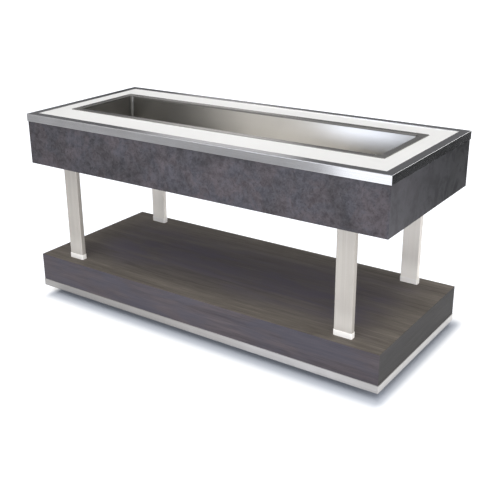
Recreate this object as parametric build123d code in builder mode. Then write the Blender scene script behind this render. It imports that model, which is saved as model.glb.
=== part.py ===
"""Buffet station: a counter box with a drop-in ice well, on four flat legs above a shelf plinth.

Sizes are in millimetres. +X runs along the counter, the front faces -Y and +Z is up.
The origin is on the floor, under the middle of the counter.
"""

import math
import os

from build123d import *

# Counter, measured over its edge trim and from the floor
LENGTH = 1850.0
DEPTH = 760.0
HEIGHT = 900.0

# Clearances
GLUE_LINE = 0.5
SLIP = 0.3
RUNNING = 0.05
THREAD = 0.1
PASS_THROUGH = 1.0
ARRIS = 0.6

# Shapes shared by many pieces
HEX_SIDES = 6
MITRE = 45.0

# Folded steel angle round the edge of the counter
TRIM_SHEET = 2.0
TRIM_FACE = 36.0
TRIM_LIP = 38.0
TRIM_INSIDE_BEND = 0.5
TRIM_PROUD = 3.0

# Boards of the counter box
SLAB_THICK = 12.0
SUBSTRATE_THICK = 18.0
APRON_THICK = 18.0
APRON_SHOWN = 203.0
GLUE_BLOCK = 40.0
GLUE_BLOCK_TALL = 150.0

# Pressed well, with a floor that falls to a drain in the middle
WELL_END_MARGIN = 149.0
WELL_WIDTH = 354.0
WELL_BACK_SHIFT = 8.0
WELL_DEPTH = 150.0
WELL_FALL = 6.0
WELL_SHEET = 1.5
WELL_FLANGE = 34.0
WELL_FLANGE_CORNER = 6.0
WELL_HEM_BEND = 2.0
WELL_CORNER = 15.0
WELL_COVE = 12.0
WELL_RIM = 5.0
WELL_CUTOUT_GAP = 3.0
DRAIN_FLAT = 90.0
SEAL_THICK = 3.0
SEAL_WIDTH = 12.0
SEAL_INSET = 4.0
INSULATION_THICK = 20.0
HOUSING_SHEET = 1.2
HOUSING_LIP = 20.0

# Drain fittings, in three-quarter inch pipe with the threads drawn plain
PIPE_R = 13.2
PIPE_BORE_R = 10.0
PIPE_HOLE_GAP = 0.8
SOCKET_DEEP = 12.0
DRAIN_FLANGE_R = 32.0
DRAIN_FLANGE_THICK = 2.2
LOCKNUT_FLATS = 40.0
LOCKNUT_THICK = 8.0
ELBOW_R = 17.0
ELBOW_BAND = 1.5
ELBOW_BAND_LONG = 6.0
ELBOW_DROP = 24.0
ELBOW_RUN = 24.0
VALVE_LONG = 60.0
VALVE_HEX_FLATS = 34.0
VALVE_HEX_LONG = 13.0
VALVE_WAIST_R = 16.0
VALVE_BELLY_R = 20.0
VALVE_BOSS_R = 8.0
VALVE_BOSS_LONG = 23.0
BALL_R = 14.0
STEM_R = 4.5
STEM_END = 1.5
LEVER_THICK = 3.0
LEVER_HUB_R = 11.0
LEVER_TIP_R = 8.0
LEVER_LONG = 92.0
GRIP_FROM = 36.0
GRIP_THICK = 9.0
GRIP_WALL = 1.5
LEVER_NUT_FLATS = 13.0
LEVER_NUT_THICK = 6.0
TAIL_COLLAR_LONG = 8.0
TAIL_LONG = 36.0
TAIL_R = 10.0
TAIL_BORE_R = 7.5
STRAINER_R = 25.0
STRAINER_RISE = 7.0
STRAINER_SHEET = 1.2
STRAINER_SKIRT = 6.0
STRAINER_HOLE_R = 2.2
STRAINER_RINGS = ((4.8, 5), (13.5, 10), (19.5, 15))

# Flat tube legs, with a plate welded on each end
LEG_WIDE = 80.0
LEG_DEEP = 25.0
LEG_WALL = 2.5
LEG_CORNER = 4.0
LEG_END_INSET = 197.0
LEG_FACE_INSET = 69.0
LEG_PLATE_LONG = 140.0
LEG_PLATE_WIDE = 64.0
LEG_PLATE_THICK = 6.0
LEG_PLATE_CORNER = 6.0
LEG_BOLTS_X = 116.0
LEG_BOLTS_Y = 40.0
COLLAR_TALL = 24.0
COLLAR_WALL = 1.6

# Bolts that hold the legs and the casters
BOLT_R = 4.0
BOLT_HOLE_R = 4.5
BOLT_FLATS = 13.0
BOLT_HEAD = 5.3
BOLT_NUT = 6.5

# Steel channels across the counter box and the plinth
CHANNEL_SHEET = 3.0
CHANNEL_BEND = 4.0
COUNTER_CHANNEL_WIDE = 160.0
COUNTER_CHANNEL_TALL = 38.0
COUNTER_CHANNEL_GAP = 6.3

# Plinth
FLOOR_GAP = 26.0
RAIL_TALL = 36.0
RAIL_DEEP = 36.0
RAIL_SHEET = 2.0
RAIL_BEND = 3.0
RAIL_PROUD = 1.5
PLINTH_TALL = 132.0
PLINTH_BOARD = 18.0
PLINTH_END_INSET = 11.0
PLINTH_FACE_INSET = 4.0
RIB_THICK = 18.0
RIB_PITCH = 400.0
RIB_COUNT = 3

# Swivel casters, hidden in the plinth
CASTER_FACE_INSET = 155.0
CASTER_PLATE_LONG = 95.0
CASTER_PLATE_WIDE = 70.0
CASTER_PLATE_THICK = 3.0
CASTER_PLATE_CORNER = 8.0
CASTER_BOLTS_X = 75.0
CASTER_BOLTS_Y = 45.0
RACE_R = 20.0
RACE_TALL = 5.0
KINGPIN_R = 6.0
KINGPIN_HEAD_R = 10.0
KINGPIN_HEAD = 4.0
CROWN_R = 27.0
CROWN_GAP = 9.7
CROWN_THICK = 4.0
CROWN_EDGE = 1.5
CHEEK_THICK = 3.0
CHEEK_GAP = 29.0
CHEEK_TOP_LONG = 40.0
CHEEK_FOOT_R = 11.0
TRAIL = 28.0
WHEEL_R = 37.5
WHEEL_WIDE = 24.0
TREAD_CROWN = 1.5
TYRE_DEEP = 8.0
WEB_THICK = 6.0
SPOKE_COUNT = 10
SPOKE_THICK = 2.5
SPOKE_INSET = 2.0
HUB_R = 11.0
HUB_WIDE = 27.0
AXLE_R = 4.0
AXLE_FLATS = 13.0
AXLE_HEAD = 5.0
BRAKE_PIVOT_GAP = 8.3
BRAKE_PIVOT_ANGLE = 49.0
BRAKE_PIN_R = 3.0
BRAKE_HUB_R = 5.5
BRAKE_LUG_R = 8.0
BRAKE_PEDAL_BACK = 28.0
BRAKE_PEDAL_UP = 8.0
BRAKE_PEDAL_R = 2.0
BRAKE_SHOE_LONG = 7.0
BRAKE_SHOE_R = 1.0
BRAKE_SWING = 20.0
SWIVEL_GAP = 8.0

# Levels, from the top of the counter down and from the floor up
slab_top = HEIGHT - TRIM_SHEET
slab_bottom = slab_top - SLAB_THICK
substrate_bottom = slab_bottom - SUBSTRATE_THICK
trim_bottom = HEIGHT - TRIM_FACE
apron_bottom = trim_bottom - APRON_SHOWN
rail_top = FLOOR_GAP + RAIL_TALL
shelf_top = rail_top + PLINTH_TALL
shelf_bottom = shelf_top - PLINTH_BOARD

# Levels of the well and the channels that pass under it
flange_bottom = slab_top + SEAL_THICK
flange_top = flange_bottom + WELL_SHEET
well_floor = HEIGHT - WELL_DEPTH
foam_bottom = well_floor - WELL_SHEET - INSULATION_THICK
housing_bottom = foam_bottom - HOUSING_SHEET
counter_channel_top = housing_bottom - COUNTER_CHANNEL_GAP
counter_channel_bottom = counter_channel_top - COUNTER_CHANNEL_TALL

# Levels of a caster, stacked up from its wheel to the channel above it
crown_bottom = 2 * WHEEL_R + CROWN_GAP
crown_top = crown_bottom + CROWN_THICK
race_bottom = crown_top + SLIP
plate_bottom = race_bottom + RACE_TALL
plate_top = plate_bottom + CASTER_PLATE_THICK
pin_head_top = crown_bottom - SLIP
plinth_channel_top = plate_top + CHANNEL_SHEET

# Plan sizes of the boxes
apron_length = LENGTH - 2 * TRIM_PROUD
apron_depth = DEPTH - 2 * TRIM_PROUD
apron_inside_x = apron_length / 2 - APRON_THICK
apron_inside_y = apron_depth / 2 - APRON_THICK
plinth_length = LENGTH - 2 * PLINTH_END_INSET
plinth_depth = DEPTH - 2 * PLINTH_FACE_INSET
plinth_inside_y = plinth_depth / 2 - PLINTH_BOARD
rail_length = plinth_length + 2 * RAIL_PROUD
rail_depth = plinth_depth + 2 * RAIL_PROUD

# The caster's axle trails behind its king pin, and the brake turns on a pin behind and above the tyre
axle_spot = (-TRAIL, WHEEL_R)
brake_pin_out = WHEEL_R + BRAKE_PIVOT_GAP
brake_pin_angle = math.radians(BRAKE_PIVOT_ANGLE)
brake_spot = (
    axle_spot[0] - brake_pin_out * math.cos(brake_pin_angle),
    axle_spot[1] + brake_pin_out * math.sin(brake_pin_angle),
)
pedal_half = CHEEK_GAP / 2 - SLIP
pedal_tip = (brake_spot[0] - BRAKE_PEDAL_BACK, brake_spot[1] + BRAKE_PEDAL_UP)
swivel_r = math.hypot(pedal_tip[0] - BRAKE_PEDAL_R, pedal_half)
plinth_channel_wide = 2 * (swivel_r + SWIVEL_GAP + CHANNEL_SHEET)

# Places of the legs, the casters and their bolts
leg_x = LENGTH / 2 - LEG_END_INSET
leg_y = DEPTH / 2 - LEG_FACE_INSET
caster_y = DEPTH / 2 - CASTER_FACE_INSET
CORNERS = {"front_left": (-1, -1), "front_right": (1, -1), "back_left": (-1, 1), "back_right": (1, 1)}
ENDS = {"left": -1, "right": 1}
leg_spots = {name: (sx * leg_x, sy * leg_y) for name, (sx, sy) in CORNERS.items()}
caster_spots = {name: (sx * leg_x, sy * caster_y) for name, (sx, sy) in CORNERS.items()}

# Each side of the counter and the plinth: the way it faces, and the way that its section is extruded
SIDES = {
    "front": (Vector(0, -1, 0), Vector(-1, 0, 0)),
    "back": (Vector(0, 1, 0), Vector(1, 0, 0)),
    "left": (Vector(-1, 0, 0), Vector(0, 1, 0)),
    "right": (Vector(1, 0, 0), Vector(0, -1, 0)),
}

os.makedirs("parts", exist_ok=True)


def save(piece, name):
    """Name a finished piece and write it out."""
    piece.label = name
    export_step(piece, f"parts/{name}.step")


def bolt_spots(centres, spacing_x, spacing_y):
    """The four bolt places round each centre."""
    return [
        (x + sx * spacing_x / 2, y + sy * spacing_y / 2)
        for x, y in centres.values()
        for sx, sy in CORNERS.values()
    ]


def side_run(side, length, depth):
    """Half the run of one side of a length by depth ring, and how far out its face lies."""
    if side in ("front", "back"):
        return length / 2, depth / 2
    return depth / 2, length / 2


def side_section(side):
    """The plane across one side, with x outwards and y up."""
    out, along = SIDES[side]
    return Plane(origin=(0, 0, 0), x_dir=out, z_dir=along)


def mitre_ends(side, length, depth):
    """Cut the side that is being built at 45 degrees at both ends, so that the ring closes."""
    out, along = SIDES[side]
    run, reach = side_run(side, length, depth)
    for end in (-1, 1):
        corner = out * reach + along * end * run
        split(bisect_by=Plane(origin=corner, z_dir=along * end - out), keep=Keep.BOTTOM)


leg_bolt_spots = bolt_spots(leg_spots, LEG_BOLTS_X, LEG_BOLTS_Y)
caster_bolt_spots = bolt_spots(caster_spots, CASTER_BOLTS_X, CASTER_BOLTS_Y)

# Edge trim: one folded angle a side, its lip lying on the slab
for side in SIDES:
    run, reach = side_run(side, LENGTH, DEPTH)
    with BuildPart() as trim:
        with BuildSketch(side_section(side)) as angle:
            with BuildLine():
                Polyline(
                    (reach - TRIM_LIP, slab_top),
                    (reach - TRIM_LIP, HEIGHT),
                    (reach, HEIGHT),
                    (reach, trim_bottom),
                    (reach - TRIM_SHEET, trim_bottom),
                    (reach - TRIM_SHEET, slab_top),
                    close=True,
                )
            make_face()
            fillet(angle.vertices().group_by(Axis.X)[1].sort_by(Axis.Y)[-1], TRIM_INSIDE_BEND)
            fillet(angle.vertices().group_by(Axis.X)[-1].sort_by(Axis.Y)[-1], TRIM_INSIDE_BEND + TRIM_SHEET)
        extrude(amount=run, both=True)
        mitre_ends(side, LENGTH, DEPTH)
    save(trim.part, f"top_trim_{side}")

# Apron boards, mitred at the corners, with the bottom edge eased
for side in SIDES:
    run, reach = side_run(side, apron_length, apron_depth)
    with BuildPart() as apron:
        with BuildSketch(side_section(side)) as board:
            with Locations((reach, apron_bottom)):
                Rectangle(APRON_THICK, substrate_bottom - apron_bottom, align=(Align.MAX, Align.MIN))
            chamfer(board.vertices().group_by(Axis.X)[-1].sort_by(Axis.Y)[0], ARRIS)
        extrude(amount=run, both=True)
        mitre_ends(side, apron_length, apron_depth)
    save(apron.part, f"apron_{side}")

# Glue blocks in the four corners of the apron
with BuildPart() as glue_blocks:
    with BuildSketch(Plane.XY.offset(substrate_bottom)):
        for sx, sy in CORNERS.values():
            corner_x = sx * apron_inside_x
            corner_y = sy * apron_inside_y
            Polygon(
                (corner_x, corner_y),
                (corner_x - sx * GLUE_BLOCK, corner_y),
                (corner_x, corner_y - sy * GLUE_BLOCK),
                align=None,
            )
    extrude(amount=-GLUE_BLOCK_TALL)
save(glue_blocks.part, "apron_glue_blocks")

# Well: sizes in plan, and the line down its drain
well_length = LENGTH - 2 * WELL_END_MARGIN
well_outside_length = well_length + 2 * WELL_SHEET
well_outside_width = WELL_WIDTH + 2 * WELL_SHEET
cutout_length = well_outside_length + 2 * WELL_CUTOUT_GAP
cutout_width = well_outside_width + 2 * WELL_CUTOUT_GAP
flange_length = well_length + 2 * WELL_FLANGE
flange_width = WELL_WIDTH + 2 * WELL_FLANGE
seal_length = flange_length - 2 * SEAL_INSET
seal_width = flange_width - 2 * SEAL_INSET
housing_inside_length = well_outside_length + 2 * INSULATION_THICK
housing_inside_width = well_outside_width + 2 * INSULATION_THICK
pipe_hole_r = PIPE_R + PIPE_HOLE_GAP
drain_axis = Axis((0, WELL_BACK_SHIFT, 0), (0, 0, 1))
drain_spot = (0, WELL_BACK_SHIFT)
drain_section = Plane.XZ.offset(-WELL_BACK_SHIFT)

# Slab and the plywood under it, cut out for the well
with BuildPart() as slab:
    with BuildSketch(Plane.XY.offset(slab_bottom)):
        Rectangle(LENGTH - 2 * (TRIM_SHEET + GLUE_LINE), DEPTH - 2 * (TRIM_SHEET + GLUE_LINE))
        with Locations(drain_spot):
            RectangleRounded(cutout_length, cutout_width, WELL_CORNER + WELL_CUTOUT_GAP, mode=Mode.SUBTRACT)
    extrude(amount=SLAB_THICK)
save(slab.part, "worktop_slab")

with BuildPart() as substrate:
    with BuildSketch(Plane.XY.offset(substrate_bottom)):
        Rectangle(apron_length, apron_depth)
        with Locations(drain_spot):
            RectangleRounded(cutout_length, cutout_width, WELL_CORNER + WELL_CUTOUT_GAP, mode=Mode.SUBTRACT)
    extrude(amount=SUBSTRATE_THICK)
save(substrate.part, "worktop_substrate")


def basin(grow):
    """The hollow of the well, or its outside when grown: upright walls and a coved, pitched floor."""
    with BuildPart() as hollow:
        with BuildSketch(drain_section):
            with BuildLine():
                Polyline(
                    (-well_length / 2 - grow, flange_top),
                    (well_length / 2 + grow, flange_top),
                    (well_length / 2 + grow, well_floor + WELL_FALL - grow),
                    (DRAIN_FLAT / 2, well_floor - grow),
                    (-DRAIN_FLAT / 2, well_floor - grow),
                    (-well_length / 2 - grow, well_floor + WELL_FALL - grow),
                    close=True,
                )
            make_face()
        extrude(amount=WELL_WIDTH / 2 + grow, both=True)
        fillet(hollow.edges().filter_by(Axis.Z), WELL_CORNER + grow)
        creases = hollow.edges().filter_by(Axis.Y).group_by(Axis.Z)[0]
        foot = hollow.edges().filter_by(lambda edge: edge.bounding_box().max.Z < well_floor + WELL_DEPTH / 2)
        fillet(foot - creases, WELL_COVE + grow)
    return hollow.part


basin_outside = basin(WELL_SHEET)
basin_inside = basin(0)

# Pan: its flange stands on a gasket above the slab and its edge is turned down to hide that
with BuildPart() as pan:
    add(basin_outside)
    with BuildSketch(Plane.XY.offset(flange_bottom)):
        with Locations(drain_spot):
            RectangleRounded(flange_length, flange_width, WELL_FLANGE_CORNER)
    extrude(amount=WELL_SHEET)
    flange_underside = pan.faces().filter_by(Axis.Z).sort_by(Axis.Z)[-2]
    fillet(flange_underside.inner_wires()[0].edges(), WELL_RIM - WELL_SHEET)
    with BuildSketch(Plane.XY.offset(slab_top + SLIP)):
        with Locations(drain_spot):
            RectangleRounded(flange_length, flange_width, WELL_FLANGE_CORNER)
            RectangleRounded(
                flange_length - 2 * WELL_SHEET,
                flange_width - 2 * WELL_SHEET,
                WELL_FLANGE_CORNER - WELL_SHEET,
                mode=Mode.SUBTRACT,
            )
    extrude(amount=SEAL_THICK - SLIP)
    add(basin_inside, mode=Mode.SUBTRACT)
    with Locations((*drain_spot, well_floor)):
        Hole(pipe_hole_r)
    fillet(pan.faces().sort_by(Axis.Z)[-1].inner_wires()[0].edges(), WELL_RIM)
    fillet(pan.faces().sort_by(Axis.Z)[-1].outer_wire().edges(), WELL_HEM_BEND)
save(pan.part, "well_pan")

with BuildPart() as seal:
    with BuildSketch(Plane.XY.offset(slab_top)):
        with Locations(drain_spot):
            RectangleRounded(seal_length, seal_width, WELL_FLANGE_CORNER)
            RectangleRounded(
                seal_length - 2 * SEAL_WIDTH,
                seal_width - 2 * SEAL_WIDTH,
                WELL_FLANGE_CORNER,
                mode=Mode.SUBTRACT,
            )
    extrude(amount=SEAL_THICK)
save(seal.part, "well_seal")

# Foam poured between the well and its housing
with BuildPart() as foam:
    with BuildSketch(Plane.XY.offset(foam_bottom)):
        with Locations(drain_spot):
            Rectangle(housing_inside_length, housing_inside_width)
            Circle(pipe_hole_r, mode=Mode.SUBTRACT)
    extrude(amount=substrate_bottom - foam_bottom)
    add(basin(WELL_SHEET + SLIP), mode=Mode.SUBTRACT)
save(foam.part, "well_insulation")

with BuildPart() as housing:
    with BuildSketch(Plane.XY.offset(housing_bottom)):
        with Locations(drain_spot):
            Rectangle(housing_inside_length + 2 * HOUSING_SHEET, housing_inside_width + 2 * HOUSING_SHEET)
    extrude(amount=substrate_bottom - housing_bottom)
    with BuildSketch(Plane.XY.offset(substrate_bottom)):
        with Locations(drain_spot):
            Rectangle(housing_inside_length + 2 * HOUSING_LIP, housing_inside_width + 2 * HOUSING_LIP)
    extrude(amount=-HOUSING_SHEET)
    with BuildSketch(Plane.XY.offset(foam_bottom)):
        with Locations(drain_spot):
            Rectangle(housing_inside_length, housing_inside_width)
    extrude(amount=substrate_bottom - foam_bottom, mode=Mode.SUBTRACT)
    with Locations((*drain_spot, housing_bottom)):
        Hole(pipe_hole_r)
save(housing.part, "well_housing")

# Drain: levels down the pipe, and places along its level run to the back
strainer_seat = well_floor + DRAIN_FLANGE_THICK
locknut_bottom = housing_bottom - LOCKNUT_THICK
elbow_top = locknut_bottom - SLIP
tailpiece_bottom = elbow_top - SOCKET_DEEP
pipe_level = elbow_top - ELBOW_DROP
elbow_face = WELL_BACK_SHIFT + ELBOW_RUN
valve_face = elbow_face + SLIP
valve_end = valve_face + VALVE_LONG
ball_y = valve_face + VALVE_LONG / 2
collar_face = valve_end + SLIP
collar_end = collar_face + TAIL_COLLAR_LONG
boss_bottom = pipe_level - VALVE_BOSS_LONG
lever_top = boss_bottom - SLIP
lever_bottom = lever_top - LEVER_THICK
lever_nut_bottom = lever_bottom - LEVER_NUT_THICK
stem_bottom = lever_nut_bottom - STEM_END
socket_r = PIPE_R + THREAD
run_axis = Axis((0, 0, pipe_level), (0, 1, 0))
run_centre = (0, pipe_level)


def across_run(y):
    """The plane across the level run of the drain, facing the back."""
    return Plane(origin=(0, y, 0), x_dir=(-1, 0, 0), z_dir=(0, 1, 0))


with BuildPart() as tailpiece:
    with BuildSketch(drain_section):
        with BuildLine():
            Polyline(
                (PIPE_BORE_R, tailpiece_bottom),
                (PIPE_R, tailpiece_bottom),
                (PIPE_R, well_floor),
                (DRAIN_FLANGE_R, well_floor),
                (DRAIN_FLANGE_R - DRAIN_FLANGE_THICK, strainer_seat),
                (PIPE_BORE_R, strainer_seat),
                close=True,
            )
        make_face()
    revolve(axis=drain_axis)
save(tailpiece.part, "drain_tailpiece")

with BuildPart() as locknut:
    with BuildSketch(Plane.XY.offset(locknut_bottom)):
        with Locations(drain_spot):
            RegularPolygon(LOCKNUT_FLATS / 2, HEX_SIDES, major_radius=False)
            Circle(socket_r, mode=Mode.SUBTRACT)
    extrude(amount=LOCKNUT_THICK)
save(locknut.part, "drain_locknut")

with BuildPart() as elbow:
    with BuildSketch(Plane.XY.offset(pipe_level)):
        with Locations(drain_spot):
            Circle(ELBOW_R)
    extrude(amount=ELBOW_DROP)
    with Locations((*drain_spot, pipe_level)):
        Sphere(ELBOW_R)
    with BuildSketch(across_run(WELL_BACK_SHIFT)):
        with Locations(run_centre):
            Circle(ELBOW_R)
    extrude(amount=ELBOW_RUN)
    with BuildSketch(Plane.XY.offset(elbow_top)):
        with Locations(drain_spot):
            Circle(ELBOW_R + ELBOW_BAND)
    extrude(amount=-ELBOW_BAND_LONG)
    with BuildSketch(across_run(elbow_face)):
        with Locations(run_centre):
            Circle(ELBOW_R + ELBOW_BAND)
    extrude(amount=-ELBOW_BAND_LONG)
    with BuildSketch(across_run(elbow_face)):
        with Locations(run_centre):
            Circle(PIPE_R)
    extrude(amount=SOCKET_DEEP)
    with Locations((*drain_spot, pipe_level)):
        Sphere(PIPE_BORE_R, mode=Mode.SUBTRACT)
    with BuildSketch(Plane.XY.offset(pipe_level)):
        with Locations(drain_spot):
            Circle(PIPE_BORE_R)
    extrude(amount=ELBOW_DROP, mode=Mode.SUBTRACT)
    with BuildSketch(Plane.XY.offset(elbow_top)):
        with Locations(drain_spot):
            Circle(socket_r)
    extrude(amount=-SOCKET_DEEP, mode=Mode.SUBTRACT)
    with BuildSketch(across_run(WELL_BACK_SHIFT)):
        with Locations(run_centre):
            Circle(PIPE_BORE_R)
    extrude(amount=ELBOW_RUN + SOCKET_DEEP, mode=Mode.SUBTRACT)
save(elbow.part, "drain_elbow")

# Ball valve: hexagon ends, a round belly, and a boss below for the stem
with BuildPart() as valve:
    with BuildSketch(Plane.YZ):
        with BuildLine():
            Polyline(
                (valve_end - VALVE_HEX_LONG, pipe_level + VALVE_WAIST_R),
                (valve_end - VALVE_HEX_LONG, pipe_level),
                (valve_face + VALVE_HEX_LONG, pipe_level),
                (valve_face + VALVE_HEX_LONG, pipe_level + VALVE_WAIST_R),
            )
            ThreePointArc(
                (valve_face + VALVE_HEX_LONG, pipe_level + VALVE_WAIST_R),
                (ball_y, pipe_level + VALVE_BELLY_R),
                (valve_end - VALVE_HEX_LONG, pipe_level + VALVE_WAIST_R),
            )
        make_face()
    revolve(axis=run_axis)
    for hexagon_start in (valve_face, valve_end - VALVE_HEX_LONG):
        with BuildSketch(across_run(hexagon_start)):
            with Locations(run_centre):
                RegularPolygon(VALVE_HEX_FLATS / 2, HEX_SIDES, major_radius=False)
        extrude(amount=VALVE_HEX_LONG)
    with BuildSketch(Plane.XY.offset(boss_bottom)):
        with Locations((0, ball_y)):
            Circle(VALVE_BOSS_R)
    extrude(amount=VALVE_BOSS_LONG)
    with BuildSketch(across_run(valve_face)):
        with Locations(run_centre):
            Circle(PIPE_BORE_R)
    extrude(amount=VALVE_LONG, mode=Mode.SUBTRACT)
    for socket_start in (valve_face, valve_end - SOCKET_DEEP):
        with BuildSketch(across_run(socket_start)):
            with Locations(run_centre):
                Circle(socket_r)
        extrude(amount=SOCKET_DEEP, mode=Mode.SUBTRACT)
    with Locations((0, ball_y, pipe_level)):
        Sphere(BALL_R + SLIP, mode=Mode.SUBTRACT)
    with BuildSketch(Plane.XY.offset(boss_bottom)):
        with Locations((0, ball_y)):
            Circle(STEM_R + RUNNING)
    extrude(amount=VALVE_BOSS_LONG, mode=Mode.SUBTRACT)
save(valve.part, "drain_valve_body")

# Ball on its stem, shut: its bore lies across the pipe
with BuildPart() as ball:
    with Locations((0, ball_y, pipe_level)):
        Sphere(BALL_R)
    with BuildSketch(Plane.XY.offset(stem_bottom)):
        with Locations((0, ball_y)):
            Circle(STEM_R)
    extrude(amount=pipe_level - stem_bottom)
    with BuildSketch(Plane.YZ):
        with Locations((ball_y, pipe_level)):
            Circle(PIPE_BORE_R)
    extrude(amount=BALL_R, both=True, mode=Mode.SUBTRACT)
save(ball.part, "drain_valve_ball")

with BuildPart() as lever:
    with BuildSketch(Plane.XY.offset(lever_bottom)):
        with Locations((0, ball_y)):
            Circle(LEVER_HUB_R)
        with Locations((LEVER_LONG, ball_y)):
            Circle(LEVER_TIP_R)
        make_hull()
        with Locations((0, ball_y)):
            Circle(STEM_R, mode=Mode.SUBTRACT)
    extrude(amount=LEVER_THICK)
    with BuildSketch(Plane.XY.offset(lever_bottom + (LEVER_THICK - GRIP_THICK) / 2)):
        with Locations(((GRIP_FROM + LEVER_LONG + LEVER_TIP_R + GRIP_WALL) / 2, ball_y)):
            SlotOverall(LEVER_LONG + LEVER_TIP_R + GRIP_WALL - GRIP_FROM, 2 * (LEVER_HUB_R - GRIP_WALL))
    extrude(amount=GRIP_THICK)
    fillet(lever.faces().sort_by(Axis.Z)[0].edges(), GRIP_WALL)
    fillet(lever.faces().sort_by(Axis.Z)[-1].edges(), GRIP_WALL)
save(lever.part, "drain_valve_lever")

with BuildPart() as lever_nut:
    with BuildSketch(Plane.XY.offset(lever_nut_bottom)):
        with Locations((0, ball_y)):
            RegularPolygon(LEVER_NUT_FLATS / 2, HEX_SIDES, major_radius=False)
            Circle(STEM_R + THREAD, mode=Mode.SUBTRACT)
    extrude(amount=LEVER_NUT_THICK)
save(lever_nut.part, "drain_valve_nut")

with BuildPart() as hose_tail:
    with BuildSketch(across_run(collar_face)):
        with Locations(run_centre):
            Circle(PIPE_R)
    extrude(amount=-SOCKET_DEEP)
    with BuildSketch(across_run(collar_face)):
        with Locations(run_centre):
            RegularPolygon(VALVE_HEX_FLATS / 2, HEX_SIDES, major_radius=False)
    extrude(amount=TAIL_COLLAR_LONG)
    with BuildSketch(across_run(collar_end)):
        with Locations(run_centre):
            Circle(TAIL_R)
    extrude(amount=TAIL_LONG)
    with BuildSketch(across_run(collar_face - SOCKET_DEEP)):
        with Locations(run_centre):
            Circle(TAIL_BORE_R)
    extrude(amount=SOCKET_DEEP + TAIL_COLLAR_LONG + TAIL_LONG, mode=Mode.SUBTRACT)
save(hose_tail.part, "drain_hose_tail")

# Strainer: a pierced dome whose skirt drops into the tailpiece
dome_r = (STRAINER_R**2 + STRAINER_RISE**2) / (2 * STRAINER_RISE)
dome_centre = strainer_seat + STRAINER_RISE - dome_r
dome_inside_r = dome_r - STRAINER_SHEET
dome_angle = math.degrees(math.asin(STRAINER_R / dome_r))
dome_inside_angle = math.degrees(math.acos((dome_r - STRAINER_RISE) / dome_inside_r))
skirt_r = PIPE_BORE_R - SLIP
skirt_top = dome_centre + math.sqrt((dome_r - STRAINER_SHEET / 2) ** 2 - skirt_r**2)
with BuildPart() as strainer:
    with BuildSketch(drain_section):
        with BuildLine():
            outside = JernArc((0, dome_centre + dome_r), (1, 0), dome_r, -dome_angle)
            inside = JernArc((0, dome_centre + dome_inside_r), (1, 0), dome_inside_r, -dome_inside_angle)
            Line(outside @ 0, inside @ 0)
            Line(outside @ 1, inside @ 1)
        make_face()
    revolve(axis=drain_axis)
    with BuildSketch(Plane.XY.offset(strainer_seat - STRAINER_SKIRT)):
        with Locations(drain_spot):
            Circle(skirt_r)
            Circle(skirt_r - STRAINER_SHEET, mode=Mode.SUBTRACT)
    extrude(amount=skirt_top - strainer_seat + STRAINER_SKIRT)
    for ring_r, count in STRAINER_RINGS:
        with Locations((*drain_spot, strainer_seat)):
            with PolarLocations(ring_r, count):
                Hole(STRAINER_HOLE_R)
save(strainer.part, "drain_strainer")

# Legs: flat tube with a bolting plate on each end, open through the plates
with BuildPart() as leg:
    with BuildSketch(Plane.XY.offset(plinth_channel_top)):
        RectangleRounded(LEG_WIDE, LEG_DEEP, LEG_CORNER)
    extrude(amount=counter_channel_bottom - plinth_channel_top)
    for leg_plate_bottom in (plinth_channel_top, counter_channel_bottom - LEG_PLATE_THICK):
        with BuildSketch(Plane.XY.offset(leg_plate_bottom)):
            RectangleRounded(LEG_PLATE_LONG, LEG_PLATE_WIDE, LEG_PLATE_CORNER)
            with GridLocations(LEG_BOLTS_X, LEG_BOLTS_Y, 2, 2):
                Circle(BOLT_HOLE_R, mode=Mode.SUBTRACT)
        extrude(amount=LEG_PLATE_THICK)
    with BuildSketch(Plane.XY.offset(plinth_channel_top)):
        RectangleRounded(LEG_WIDE - 2 * LEG_WALL, LEG_DEEP - 2 * LEG_WALL, LEG_CORNER - LEG_WALL)
    extrude(amount=counter_channel_bottom - plinth_channel_top, mode=Mode.SUBTRACT)
for name, (x, y) in leg_spots.items():
    save(leg.part.moved(Location((x, y, 0))), f"leg_{name}")

collar_slot_wide = LEG_WIDE + 2 * SLIP
collar_slot_deep = LEG_DEEP + 2 * SLIP
with BuildPart() as collars:
    with BuildSketch(Plane.XY.offset(shelf_top)):
        with Locations(*leg_spots.values()):
            RectangleRounded(
                collar_slot_wide + 2 * COLLAR_WALL,
                collar_slot_deep + 2 * COLLAR_WALL,
                LEG_CORNER + SLIP + COLLAR_WALL,
            )
            RectangleRounded(collar_slot_wide, collar_slot_deep, LEG_CORNER + SLIP, mode=Mode.SUBTRACT)
    extrude(amount=COLLAR_TALL)
    for top in collars.faces().group_by(Axis.Z)[-1]:
        chamfer(top.outer_wire().edges(), ARRIS)
save(collars.part, "leg_collars")


def bolt_set(spots, head_seat, nut_seat):
    """Bolts with their nuts, the heads seated on one level and the nuts on the other."""
    way = 1 if head_seat > nut_seat else -1
    with BuildPart() as bolts:
        for level, height in ((head_seat, way * BOLT_HEAD), (nut_seat, -way * BOLT_NUT)):
            with BuildSketch(Plane.XY.offset(level)):
                with Locations(*spots):
                    RegularPolygon(BOLT_FLATS / 2, HEX_SIDES, major_radius=False)
            extrude(amount=height)
        with BuildSketch(Plane.XY.offset(nut_seat)):
            with Locations(*spots):
                Circle(BOLT_R)
        extrude(amount=head_seat - nut_seat)
    return bolts.part


leg_foot_bolts = bolt_set(leg_bolt_spots, plinth_channel_top + LEG_PLATE_THICK, plate_top)
leg_head_bolts = bolt_set(
    leg_bolt_spots,
    counter_channel_bottom - LEG_PLATE_THICK,
    counter_channel_bottom + CHANNEL_SHEET,
)
with BuildPart() as leg_bolts:
    add(leg_foot_bolts)
    add(leg_head_bolts)
save(leg_bolts.part, "leg_bolts")

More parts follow.
